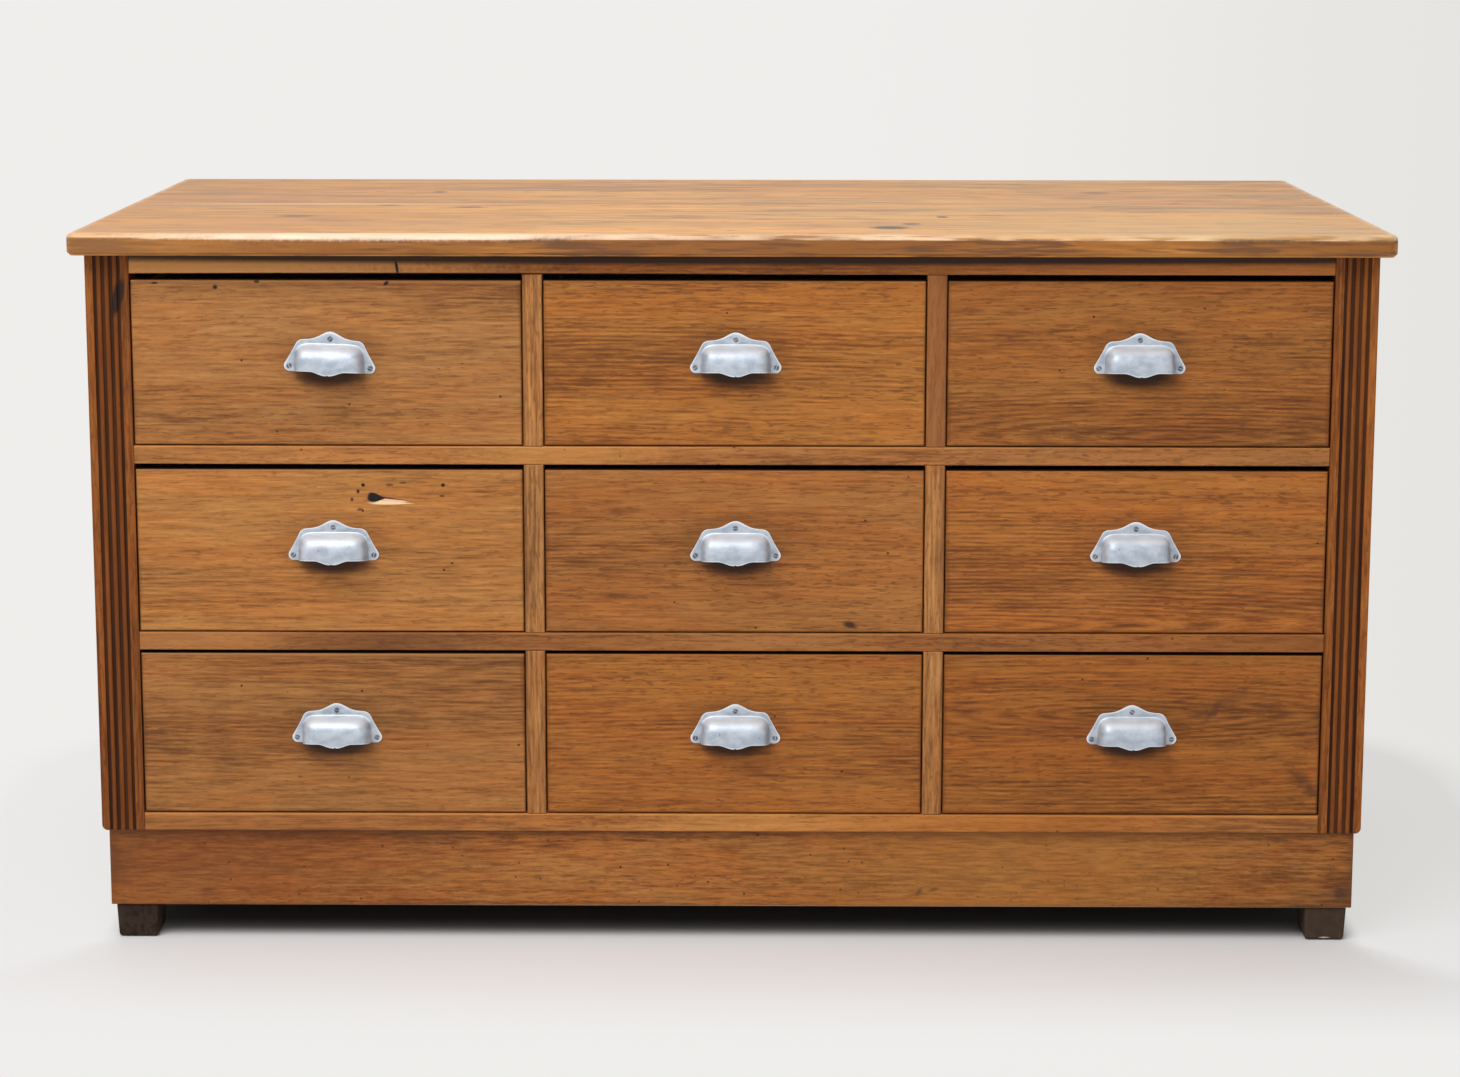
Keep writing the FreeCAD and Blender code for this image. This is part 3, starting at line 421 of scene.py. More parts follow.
@dataclass(frozen=True)
class OakFinish:
    """Old oiled oak: rings round a tilted heart, fibres, open pores, blotches, grime, worn edges, and painted
    shade and highlights.

    The constants are factors on the tone, other colours, steps with their limits and values, and shares.
    """

    DARK, PALE, RED_CAST = (0.42, 0.35, 0.28), (1.48, 1.58, 1.72), (1.06, 0.90, 0.74)
    PORE, SPECK, SEAM = (0.40, 0.33, 0.27), (0.22, 0.17, 0.14), (0.40, 0.32, 0.27)
    GRIME, RUBBED, SHADOW = (0.34, 0.28, 0.24), (1.45, 1.50, 1.55), (0.20, 0.17, 0.15)
    # The first colour here darkens the top edge of a drawer front: dust with painted shade, so the opening
    # above a closed drawer reads dark.
    DUST, WORM_HOLE = paint(38, 25, 17), paint(30, 18, 11)
    RAMP = (0.08, 0.5, 0.95)
    WARM_STEP, PORE_STEP, SPECK_STEP = (0.36, 0.64), (0.59, 0.63), (0.73, 0.78)
    CROWD_STEP, FIGURE_STEP = (0.35, 0.65, 1.0, 0.45), (0.40, 0.60, 1.0, 0.10)
    DUST_BEHIND, DUST_UNDER, RUB_REACH = (0.0006, 0.0020), (0.0005, 0.0012), 0.0035
    SEAM_STEP, SEAM_FRAY, WORM_STEP = (0.0050, 0.0080), 0.010, (0.0011, 0.0019, 0.9, 0.0)
    WHOLE_BOARD, CHANCE, BLUR = 50.0, (0.37, 1.91), 0.0005
    LOG_DRIFT, HEART_DRIFT = (9.0, 0.05, 0.11), (0.0, 0.3, 0.3)
    SPECK_SHARE, SHADE_SHARE, EDGE_FRAY = 0.6, 0.85, 2.4
    FIBRE_HIGH, PORE_DEEP, STREAK_HIGH, BUMP = 0.6, 0.6, 0.5, (0.0006, 0.40)
    FIBRE_ROUGH, BLOTCH_ROUGH, ROUGH_LESS = 0.16, 0.14, 0.14

    name: str
    tone: Colour
    grain: Grain = Grain.ACROSS
    seed: float = 0.0
    cell: Triple = (0.0, 0.0, 0.0)
    scale: OakScale = OakScale()
    ring_gap: float = 0.0052
    heart: Pair = (0.03, 0.13)
    tilt: Pair = (0.008, 0.045)
    ring_share: float = -0.15
    fibre_share: float = 1.65
    blotch_share: float = 0.75
    streak_share: float = 0.58
    dash_share: float = 0.60
    warm_share: float = 0.75
    board_share: float = 0.30
    grime: float = 0.45
    edge_reach: float = 0.005
    wear: float = 0.5
    rough: float = 0.50
    shine: float = 0.26
    seam: float = 0.0
    cross_behind: float | None = None
    shaded: float = 0.0
    dust_and_shade_top: float = 0.0
    reeds: ReedBand | None = None
    arris: ArrisWearAndHighlight | None = None
    holes: float = 0.0
    marks: tuple[Mark, ...] = ()

    def fibres_along_x(self, board: Board) -> tuple[Term, Term, Term]:
        """Lays the fibres along X and moves each board to its own part of the log.

        Args:
            board: The place on the wood.

        Returns:
            The place in the log, the place about the log's heart, and the board's own random number.
        """
        at, tree = board.at, board.at.tree
        pitch = tuple(width if width > 0 else self.WHOLE_BOARD for width in self.cell)
        number = ((at - tuple(board.low)) / pitch).sum("FLOOR")
        chance = add_node(tree, "ShaderNodeTexWhiteNoise", {"Vector": number + (self.seed, *self.CHANCE)},
                          noise_dimensions="3D").outputs
        centred = at - tuple((board.low + board.high) / 2)
        laid = centred.turn(NO_SHIFT, self.grain.value)
        if self.cross_behind is not None:
            behind = at.parts()[1].step(self.cross_behind - self.BLUR, self.cross_behind + self.BLUR)
            laid = behind.mix(laid, centred)
        drift = Term(tree, chance["Color"]) * self.LOG_DRIFT
        in_log = laid + drift + (self.seed, 0.0, 0.0)
        return in_log, laid + drift * self.HEART_DRIFT, Term(tree, chance["Value"])

    def edge_distance(self, board: Board) -> tuple[Term, Term]:
        """Measures how far a place is from the node's nearest and upper edges, in the two widest directions.

        Args:
            board: The place on the wood.

        Returns:
            Distance to the nearest edge and to the top edge.
        """
        numbers = board.at.parts()
        spans = [float(board.high[axis] - board.low[axis]) for axis in range(3)]
        inside = []
        for axis in sorted(range(3), key=lambda index: -spans[index])[:2]:
            off = numbers[axis] - float(board.low[axis] + board.high[axis]) / 2
            inside.append(spans[axis] / 2 - off.size())
        return inside[0].sum("MINIMUM", inside[1]), float(board.high[2]) - numbers[2]

    def pattern(self, board: Board) -> WoodPattern:
        """Works out the rings, fibres, streaks, blotches, dark dashes and specks.

        The place in the log is bent by slow and quick noise, so that every pattern follows the same sway.

        Args:
            board: The place on the wood.

        Returns:
            The patterns, each from 0 to 1.
        """
        scale = self.scale
        in_log, arched, own = self.fibres_along_x(board)
        bent = in_log
        for stretch, reach in ((scale.long_sway, scale.long_reach), (scale.short_sway, scale.short_reach)):
            sway = (in_log.noise(stretch, 1.0, output="Color") - (0.5, 0.5, 0.5)) * (0.0, reach, reach)
            bent, arched = bent + sway, arched + sway
        round_heart = arched.turn((0.0, *self.heart), (0.0, *self.tilt))
        waves = {"Vector": round_heart, "Scale": math.tau / 20.0 / self.ring_gap}
        ring = round_heart.made("ShaderNodeTexWave", waves, "Fac", wave_type="RINGS", rings_direction="X",
                                wave_profile="SIN")
        streak = bent.noise(scale.streak, 3.0, 0.6)
        dash = bent.noise(scale.dash, 1.0, 0.6).step(*self.PORE_STEP) * streak.step(*self.CROWD_STEP)
        return WoodPattern(ring, bent.noise(scale.fibre, 4.0, 0.68), streak, in_log.noise(scale.blotch, 1.0),
                           in_log.noise(scale.warm, 3.0, 0.6).step(*self.WARM_STEP), dash,
                           in_log.noise(scale.speck).step(*self.SPECK_STEP), own)

    def wood_colour(self, wood: WoodPattern) -> Term:
        """Mixes the patterns into the colour of clean wood.

        Args:
            wood: The patterns.

        Returns:
            The colour.
        """
        value = (wood.ring - 0.5) * wood.blotch.step(*self.FIGURE_STEP) * self.ring_share + 0.5
        own_share = self.board_share if any(self.cell) else 0.0
        for pattern, share in ((wood.fibre, self.fibre_share), (wood.blotch, self.blotch_share),
                               (wood.streak, self.streak_share), (wood.own, own_share)):
            value = value + (pattern - 0.5) * share
        ramp = add_node(value.tree, "ShaderNodeValToRGB", {"Fac": value})
        stops = ramp.color_ramp.elements
        stops[0].position, middle, stops[1].position = self.RAMP
        stops[0].color = (*shade(self.tone, self.DARK), 1.0)
        stops[1].color = (*shade(self.tone, self.PALE), 1.0)
        stops.new(middle).color = (*self.tone, 1.0)
        ramped = Term(value.tree, ramp.outputs["Color"])
        colour = (wood.warm * self.warm_share).mix(ramped, self.RED_CAST, "MULTIPLY")
        colour = (wood.dash * self.dash_share).mix(colour, shade(self.tone, self.PORE))
        return (wood.speck * self.SPECK_SHARE).mix(colour, shade(self.tone, self.SPECK))

    def soiled(self, colour: Term, wood: WoodPattern, board: Board) -> Term:
        """Adds grime along the edges, rubbed upper edges, a painted shade band under the top, dust with
        painted shade on the top edge, soot, seams, the arris's wear and painted highlight, worm holes and
        marks, some of them painted shade and light.

        Args:
            colour: Colour of the clean wood.
            wood: The patterns.
            board: The place on the wood.

        Returns:
            The colour of the used wood.
        """
        at, low = board.at, board.low
        near, under_top = self.edge_distance(board)
        frayed = (wood.blotch - 0.5) * (self.edge_reach * self.EDGE_FRAY)
        dirty = (near + frayed).step(0.0, self.edge_reach, self.grime, 0.0)
        colour = dirty.mix(colour, shade(self.tone, self.GRIME))
        if self.wear > 0:
            rubbed = (under_top + frayed).step(0.0, self.RUB_REACH, self.wear, 0.0)
            colour = rubbed.mix(colour, shade(self.tone, self.RUBBED))
        if self.shaded > 0:
            dim = under_top.step(0.0, self.shaded, self.SHADE_SHARE, 0.0)
            colour = dim.mix(colour, shade(self.tone, self.SHADOW))
        # Dust and painted shade on a drawer front's top edge, from just behind its face.
        if self.dust_and_shade_top > 0:
            behind = at.parts()[1].step(*(float(low[1]) + reach for reach in self.DUST_BEHIND))
            colour = (behind * under_top.step(*self.DUST_UNDER, self.dust_and_shade_top, 0.0)).mix(colour, self.DUST)
        if self.reeds is not None:
            colour = self.reeds.tint(colour, at, wood.streak)
        if self.seam > 0:
            axis = max(range(3), key=lambda index: self.cell[index])
            beside = (at.parts()[axis] - float(low[axis])).sum("PINGPONG", self.cell[axis] / 2)
            line = (beside + wood.streak * self.SEAM_FRAY).step(*self.SEAM_STEP, self.seam, 0.0)
            colour = line.mix(colour, shade(self.tone, self.SEAM))
        if self.arris is not None:
            colour = self.arris.tint(colour, near, under_top, at)
        if self.holes > 0:
            cells = {"Vector": at + (self.seed, 0.0, 0.0), "Scale": self.holes}
            worm = at.made("ShaderNodeTexVoronoi", cells, "Distance", feature="F1", voronoi_dimensions="3D")
            colour = (worm / self.holes).step(*self.WORM_STEP).mix(colour, self.WORM_HOLE)
        if self.marks:
            ragged = at.noise(self.scale.ragged) - 0.5
            for mark in self.marks:
                colour = mark.mask(at, ragged).mix(colour, mark.colour)
        return colour

    def material(self, low: Vector, high: Vector) -> bpy.types.Material:
        """Builds the material for one node.

        Args:
            low: Lowest corner of the node.
            high: Highest corner of the node.

        Returns:
            The material.
        """
        made, at = new_material(self.name)
        board = Board(at, low, high)
        wood = self.pattern(board)
        colour = self.soiled(self.wood_colour(wood), wood, board)
        height = wood.fibre * self.FIBRE_HIGH - wood.dash * self.PORE_DEEP + wood.streak * self.STREAK_HIGH
        rough = wood.fibre * self.FIBRE_ROUGH + (self.rough - self.ROUGH_LESS)
        rough = rough + wood.blotch * self.BLOTCH_ROUGH
        inputs = {"Base Color": colour, "Roughness": rough, "Specular IOR Level": self.shine,
                  "Normal": height.bump(*self.BUMP)}
        at.made("ShaderNodeBsdfPrincipled", inputs).finish()
        return made


@dataclass(frozen=True)
class ZincFinish:
    """Dull galvanised sheet: cloudy grey metal with fine brushing, small pits, grime in the fold and a
    painted highlight on the rim and shoulder.
    """

    name: str
    pale: Colour = paint(184, 192, 202)
    dull: Colour = paint(157, 167, 180)
    dirt: Colour = paint(70, 66, 62)
    painted_highlight: Colour = paint(236, 240, 245)
    rough: float = 0.35
    metal: float = 0.28
    seed: float = 0.0
    clouds: Triple = (60.0, 60.0, 90.0)
    brushing: Triple = (900.0, 300.0, 130.0)
    pits: Triple = (330.0, 330.0, 330.0)
    pale_step: Step = (0.32, 0.66)
    grime_step: Step = (0.3, 0.7, 0.20, 0.02)
    pit_step: Step = (0.74, 0.80, 0.0, 0.7)
    rim_highlight_share: float = 0.8
    cloud_rough: float = 0.16
    brush_high: float = 0.35
    cloud_high: float = 0.6
    bump: Pair = (0.0005, 0.22)

    def material(self) -> bpy.types.Material:
        """Builds the material: two greys in clouds, pits, and dirt in the fold and a painted highlight on the
        rim and shoulder where the mesh marks them.

        Returns:
            The material.
        """
        made, place = new_material(self.name)
        at = place + (self.seed, 0.0, 0.0)
        cloud = at.noise(self.clouds, 4.0, 0.6)
        fold, rim = (source(at.tree, "ShaderNodeAttribute", "Fac", attribute_name=name)
                     for name in ("fold", "rim"))
        colour = cloud.step(*self.pale_step).mix(self.dull, self.pale)
        colour = (fold * cloud.step(*self.grime_step)).mix(colour, self.dirt)
        colour = at.noise(self.pits, 1.0).step(*self.pit_step).mix(colour, self.dirt)
        # Painted highlight where the mesh's rim attribute marks the rim and the cup's shoulder.
        colour = (rim * self.rim_highlight_share).mix(colour, self.painted_highlight)
        height = at.noise(self.brushing) * self.brush_high + cloud * self.cloud_high
        inputs = {"Base Color": colour, "Roughness": cloud * self.cloud_rough + self.rough,
                  "Metallic": self.metal, "Normal": height.bump(*self.bump)}
        at.made("ShaderNodeBsdfPrincipled", inputs).finish()
        return made


def grid_object(name: str, points: np.ndarray,
                numbers: dict[str, np.ndarray] | None = None) -> bpy.types.Object:
    """Makes a mesh object of square faces from one or more grids of points, rows down, columns to the right.

    Args:
        name: Name of the object.
        points: Array of grids, rows, columns and three coordinates, in metres.
        numbers: Named number for every point, as arrays of grids, rows and columns.

    Returns:
        The object, smooth, with its place in its mesh.
    """
    grids, rows, columns, _ = points.shape
    index = np.arange(grids * rows * columns).reshape(grids, rows, columns)
    corners = (index[:, :-1, :-1], index[:, 1:, :-1], index[:, 1:, 1:], index[:, :-1, 1:])
    faces = np.stack([corner.ravel() for corner in corners], axis=1)
    mesh = bpy.data.meshes.new(name)
    mesh.from_pydata(points.reshape(-1, 3).tolist(), [], faces.tolist())
    for key, values in (numbers or {}).items():
        held = mesh.attributes.new(key, "FLOAT", "POINT").data
        held.foreach_set("value", values.astype(np.float32).ravel())
    mesh.polygons.foreach_set("use_smooth", np.ones(len(mesh.polygons), dtype=bool))
    mesh.update()
    made = bpy.data.objects.new(name, mesh)
    bpy.context.scene.collection.objects.link(made)
    return made


def modify(made: bpy.types.Object, name: str, kind: str, **settings: object) -> None:
    """Adds one modifier to an object.

    Args:
        made: The object.
        name: Name of the modifier.
        kind: Its type.
        settings: Values for its properties.
    """
    modifier = made.modifiers.new(name, kind)
    for key, value in settings.items():
        setattr(modifier, key, value)


def dress(node: str, oak: OakFinish, rounding: float = 0.0) -> None:
    """Gives a node its finish, and rubs its sharp edges round, after its triangles are joined.

    Args:
        node: Name of the node.
        oak: The finish.
        rounding: Width of the rounding, or 0 for none.
    """
    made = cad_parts[node]
    material = oak.material(*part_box(node))
    if not made.material_slots:
        made.data.materials.append(material)
    for slot in made.material_slots:
        slot.material = material
    if rounding > 0:
        modify(made, "join", "WELD", merge_threshold=0.00001)
        modify(made, "rubbed edges", "BEVEL", width=rounding, segments=2, limit_method="ANGLE",
               angle_limit=math.radians(40.0), harden_normals=True)
    log.info("node %s", node)


def bend(start: np.ndarray, turn: np.ndarray, end: np.ndarray) -> np.ndarray:
    """Gives the curve (1 - t)^2 start + 2 t (1 - t) turn + t^2 end, without its first point."""
    step = np.linspace(0.0, 1.0, 40)[1:, None]
    return (1 - step) ** 2 * start + 2 * step * (1 - step) * turn + step ** 2 * end


def smooth(share: np.ndarray) -> np.ndarray:
    """Gives the smooth step 3 t^2 - 2 t^3 of a share that is kept within 0 and 1."""
    kept = np.clip(share, 0.0, 1.0)
    return kept ** 2 * (3 - 2 * kept)


@dataclass
class CupPull:
    """Pressed zinc cup pull: peaked plate with ears, cup with rounded ends, dropped lip and three screws."""

    name: str
    body: str
    node: str
    centre: Triple
    tilt: float = 0.0
    tilt_level: float = 0.022
    sheet: float = 0.0015
    rim_rounding: float = 0.0004
    ear: Triple = (0.0486, 0.0069, 0.0069)
    ear_sweep: Pair = (270.0, 154.0)
    side_hollow: Pair = (-0.0482, 0.0205)
    side_top: Pair = (-0.0426, 0.0322)
    shoulder: Pair = (0.0325, 0.0394)
    shoulder_turn: Pair = (-0.0397, -0.0002)
    crown: float = 0.0006
    peak_rise: float = 0.0097
    peak_width: float = 0.0150
    cup_half: float = 0.0426
    cup_high: float = 0.0304
    cup_deep: float = 0.0245
    end_power: float = 7.5
    top_power: float = 3.1
    dome_power: float = 2.1
    fold_radius: float = 0.0017
    flat_from: float = 0.55
    flat_share: float = 0.45
    lip_level: float = 0.0035
    lip_high: float = 0.012
    lip_drop: float = 0.0048
    lip_from: float = 0.0215
    lip_to: float = 0.0025
    notch: Triple = (0.0008, 0.0009, 0.0002)
    rim: float = 0.0012
    shoulder_sheen: Triple = (0.66, 0.82, 0.62)
    columns: int = 145
    plate_rows: int = 4
    fold_rows: int = 9
    dome_rows: int = 29
    crease_fade: Triple = (0.35, 0.6, 0.3)
    screw_places: tuple[Pair, ...] = ((0.0, 0.0410), (-0.0495, 0.0065), (0.0495, 0.0065))
    screw_radius: float = 0.0033
    screw_rise: float = 0.0011
    screw_slot: float = 0.00055
    slot_deep: float = 0.0009
    screw_sunk: float = 0.0002
    screw_round: float = 0.86
    screw_low: float = 0.25
    screw_edge: float = 0.985

    def plate_outline(self) -> np.ndarray:
        """Gives the plate's outline: ear arc, hollow side, round shoulder, then a bell curve up to the peak.

        Returns:
            Points (x, z) from the left ear's foot over the peak to the right ear's foot, evenly spaced.
        """
        ear_x, ear_z, ear_r = self.ear
        angle = np.radians(np.linspace(*self.ear_sweep, 40))
        arc = np.stack([-ear_x + ear_r * np.cos(angle), ear_z + ear_r * np.sin(angle)], axis=1)
        top = np.array(self.side_top)
        side = bend(arc[-1], np.array(self.side_hollow), top)
        land_x, base = self.shoulder
        bell_x = -np.linspace(land_x, 0.0, 80)
        bell_z = base + self.crown * (1 - (bell_x / land_x) ** 2)
        bell_z = bell_z + self.peak_rise * np.exp(-(bell_x / self.peak_width) ** 2)
        bell = np.stack([bell_x, bell_z], axis=1)
        shoulder = bend(top, np.array(self.shoulder_turn) + (0.0, bell_z[0]), bell[0])
        half = np.concatenate([arc, side, shoulder, bell[1:]])
        whole = np.concatenate([half, half[-2::-1] * (-1.0, 1.0)])
        run = np.concatenate([[0.0], np.cumsum(np.linalg.norm(np.diff(whole, axis=0), axis=1))])
        even = np.linspace(0.0, run[-1], self.columns)
        return np.stack([np.interp(even, run, whole[:, axis]) for axis in (0, 1)], axis=1)

    def cup_foot(self, outline: np.ndarray) -> tuple[np.ndarray, np.ndarray]:
        """Finds the cup's foot |x/a|^m + |z/h|^n = 1 opposite each point of the plate's outline.

        Args:
            outline: The plate's outline.

        Returns:
            Points (x, z) over the lip's level, and the outward direction at each.
        """
        bearing = np.unwrap(np.arctan2(outline[:, 1] - self.lip_level, outline[:, 0]))
        angle = np.pi * ((bearing - bearing[-1]) / (bearing[0] - bearing[-1]))
        dense = np.linspace(0.0, math.pi, 4001)
        round_x = np.sign(np.cos(dense)) * self.cup_half * np.abs(np.cos(dense)) ** (2 / self.end_power)
        round_z = self.cup_high * np.abs(np.sin(dense)) ** (2 / self.top_power)
        seen = np.arctan2(round_z, round_x)
        foot = np.stack([np.interp(angle, seen, part) for part in (round_x, round_z)], axis=1)
        end_slope = np.abs(foot[:, 0] / self.cup_half) ** (self.end_power - 1)
        end_slope = self.end_power * end_slope / self.cup_half
        top_slope = self.top_power * (foot[:, 1] / self.cup_high) ** (self.top_power - 1) / self.cup_high
        slope = np.stack([np.sign(foot[:, 0]) * end_slope, top_slope], axis=1)
        return foot, slope / np.linalg.norm(slope, axis=1, keepdims=True)

    def surface(self) -> tuple[np.ndarray, np.ndarray, np.ndarray]:
        """Works out the sheet's outer face as nested arches from the plate's outline to the lip.

        With F = |x/a|^m + |z/h|^n the cup's foot is F = 1 and its depth is b (1 - F)^(1/q), a quarter circle
        folds the wall into the plate, and the lip drops by a smooth step towards the middle.

        Returns:
            Points (rows, columns, 3) about the ears' level, how far each is in the fold, and how much painted
            highlight each takes at the rim and on the cup's shoulder.
        """
        outline = self.plate_outline()
        foot, outward = self.cup_foot(outline)
        reach = self.fold_radius
        start = math.asin((reach / self.cup_deep) ** (self.dome_power / 2))
        fold = np.radians(np.linspace(90.0, 0.0, self.fold_rows))[:, None, None]
        folded = foot * math.cos(start) ** (2 / self.dome_power) + outward * reach * (1 - np.cos(fold))
        folded_deep = np.broadcast_to(reach * (1 - np.sin(fold[:, :, 0])), folded.shape[:2])
        flat = outline - (0.0, self.lip_level)
        plate = flat + (folded[0] - flat) * np.linspace(0.0, 1.0, self.plate_rows + 1)[:-1, None, None]

        climb = np.linspace(start, math.pi / 2, self.dome_rows + 1)[1:]
        rise = np.cos(climb) ** (2 / self.dome_power)
        flatter = self.flat_from - (self.flat_from - rise) * self.flat_share
        width = np.where(rise > self.flat_from, rise, flatter)
        dome = np.stack([foot[None, :, 0] * width[:, None], foot[None, :, 1] * rise[:, None]], axis=2)
        inside = (np.abs(dome[..., 0] / self.cup_half) ** self.end_power
                  + np.abs(dome[..., 1] / self.cup_high) ** self.top_power)
        dome_deep = self.cup_deep * (1 - np.clip(inside, 0.0, 1.0)) ** (1 / self.dome_power)
        face = np.concatenate([plate, folded, dome])
        deep = np.concatenate([np.zeros(plate.shape[:2]), folded_deep, dome_deep])
        before, *after = self.crease_fade
        creased = np.concatenate([np.zeros(len(plate) - 1), [before], np.ones(len(fold)), after,
                                  np.zeros(len(dome) - len(after))])[:, None] * np.ones((1, self.columns))

        across, up = face[..., 0], face[..., 1]
        low = smooth(1 - np.clip(up / self.lip_high, 0.0, 1.0))
        middle = smooth((self.lip_from - np.abs(across)) / (self.lip_from - self.lip_to))
        notch_half, notch_high, notch_edge = self.notch
        notch = notch_high * np.exp(-(across / notch_half) ** 4) * (up < notch_edge)
        dropped = self.lip_drop * middle + self.lip_level * (1 - deep / self.cup_deep)
        shift = low * (deep > 0) * dropped - notch
        over_plate = np.linspace(0.0, 1.0, len(plate) + 1)[:-1]
        fade = np.concatenate([over_plate, np.ones(len(face) - len(plate))])[:, None]
        height = up + self.lip_level - shift - (deep <= 0) * low * self.lip_level * fade
        # Painted highlight: full along the plate's edge and the lip, fading within a rim's height, and over
        # the upward-facing shoulder of the cup.
        rubbed = np.clip(1 - up / self.rim, 0.0, 1.0) * (deep > self.fold_radius)
        rubbed[0] = 1.0
        sheen_from, sheen_to, shoulder_sheen = self.shoulder_sheen
        shoulder = np.clip((up / self.cup_high - sheen_from) / (sheen_to - sheen_from), 0.0, 1.0)
        rubbed = np.maximum(rubbed, shoulder_sheen * shoulder * (deep > 0))
        return np.stack([across, -self.sheet - deep, height], axis=2), creased, rubbed

    def stand(self, points: np.ndarray) -> np.ndarray:
        """Tilts points about the pull's middle and moves them to their drawer.

        Args:
            points: Points about the middle of the ears' level.

        Returns:
            The points in place.
        """
        swing = np.array([[math.cos(self.tilt), 0.0, -math.sin(self.tilt)], [0.0, 1.0, 0.0],
                          [math.sin(self.tilt), 0.0, math.cos(self.tilt)]])
        middle = np.array([0.0, 0.0, self.tilt_level])
        return (points - middle) @ swing.T + middle + np.array(self.centre)

    def build(self, material: bpy.types.Material) -> bpy.types.Object:
        """Makes the pressed sheet, with its thickness and a soft rim.

        Args:
            material: The zinc.

        Returns:
            The pull's object.
        """
        points, creased, rubbed = self.surface()
        # The second attribute carries the painted highlight on the rim and shoulder.
        made = grid_object(self.name, self.stand(points)[None], {"fold": creased[None], "rim": rubbed[None]})
        made.data.materials.append(material)
        modify(made, "sheet", "SOLIDIFY", thickness=self.sheet, offset=-1.0)
        modify(made, "rim", "BEVEL", width=self.rim_rounding, segments=2, limit_method="ANGLE",
               angle_limit=math.radians(55.0))
        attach(made, self.body)
        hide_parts(self.node)
        return made

    def build_screws(self, material: bpy.types.Material, turns: Triple) -> bpy.types.Object:
        """Makes the three screw heads: shallow domes on grids whose lines run along their straight slot.

        A head is the disc (u, v * sqrt(1 - u^2)) with the height h (sqrt(1 - c r^2) - d), less the slot's
        depth where u is within the slot, and its outer ring goes down into the plate.

        Args:
            material: The steel.
            turns: Angle of each slot in radians.

        Returns:
            The object with the three heads.
        """
        slot = self.screw_slot / self.screw_radius
        side = np.array([1.0, 0.995, 0.97, 0.92, 0.84, 0.72, 0.56, 0.38,
                         slot * 1.35, slot * 1.02, slot * 0.98])
        cross = np.sin(np.linspace(-math.pi / 2, math.pi / 2, 21))
        along, over = np.meshgrid(np.concatenate([-side, side[::-1]]), cross)
        over = over * np.sqrt(np.clip(1 - along ** 2, 0.0, 1.0))
        radius = np.clip(np.hypot(along, over), 0.0, 1.0)
        rise = self.screw_rise * (np.sqrt(np.clip(1 - self.screw_round * radius ** 2, 0, 1)) - self.screw_low)
        rise = np.where(np.abs(along) < slot, rise - self.slot_deep, rise)
        rise = np.where(radius > self.screw_edge, -self.screw_sunk, rise)
        heads = []
        for (x, z), turn in zip(self.screw_places, turns):
            flat_x = self.screw_radius * (along * math.cos(turn) - over * math.sin(turn)) + x
            flat_z = self.screw_radius * (along * math.sin(turn) + over * math.cos(turn)) + z
            heads.append(np.stack([flat_x, -self.sheet - rise, flat_z], axis=2)[::-1])
        made = grid_object(self.name.replace("pressed_pull", "pull_screws"), self.stand(np.array(heads)))
        made.data.materials.append(material)
        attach(made, self.body)
        return made


@dataclass
class Drawer:
    """One drawer: oak front, pale box and bottom, cup pull and screws."""

    name: str
    pull_x: float
    pull_z: float
    seed: float
    tone: Colour
    heart: Pair
    tilt: float
    ring_share: float
    dash_share: float = 0.60
    pull_tilt: float = 0.0
    marks: tuple[Mark, ...] = ()
    back_board: float = 0.266
    edge: float = 0.0009
    box_tone: Colour = paint(196, 158, 112)
    slot_turns: Triple = (1.3, 2.1, 0.7)

    def dress(self) -> None:
        """Finishes the front, with a painted shadow under the pull and painted shade mixed with grime round
        its plate, and the box and the bottom.
        """
        # Painted shade round the pull's plate, partly finger grime, then a painted shadow under the cup's
        # lip.
        shadows = ((0.022, 0.066, 0.036, (0.3, 0.25, 0.2), 0.30, 0.30),
                   (-0.004, 0.040, 0.013, (0.08, 0.06, 0.05), 0.45, 0.92))
        held = tuple(Mark((self.pull_x, DRAWER_FACE, self.pull_z + up), (wide, MARK_DEPTH, high),
                          shade(self.tone, dark), soft, strength, fray=SMOOTH_OUTLINE)
                     for up, wide, high, dark, soft, strength in shadows)
        oak = OakFinish(f"{self.name}_front_oak", self.tone, seed=self.seed, heart=self.heart,
                        tilt=(0.0, self.tilt), ring_share=self.ring_share, dash_share=self.dash_share,
                        holes=24.0, dust_and_shade_top=0.97, marks=held + self.marks)
        dress(f"{self.name}_drawer_front", oak, self.edge)
        for part, grain, back in (("box", Grain.DEEP, self.back_board), ("bottom", Grain.ACROSS, None)):
            pale = OakFinish(f"{self.name}_{part}_wood", self.box_tone, grain, self.seed + 5.0, rough=0.66,
                             shine=0.3, grime=0.25, wear=0.0, cross_behind=back)
            dress(f"{self.name}_drawer_{part}", pale)

    def build(self) -> None:
        """Makes the pull and its screws."""
        zinc = ZincFinish(f"{self.name}_zinc", seed=self.seed)
        steel = ZincFinish(f"{self.name}_screw_steel", paint(112, 114, 118), paint(70, 72, 76),
                           seed=self.seed)
        pull = CupPull(f"{self.name}_pressed_pull", f"{self.name}_drawer", f"{self.name}_cup_pull",
                       (self.pull_x, DRAWER_FACE, self.pull_z), self.pull_tilt)
        log.info("piece %s", pull.build(zinc.material()).name)
        turns = tuple(self.seed * factor for factor in self.slot_turns)
        log.info("piece %s", pull.build_screws(steel.material(), turns).name)


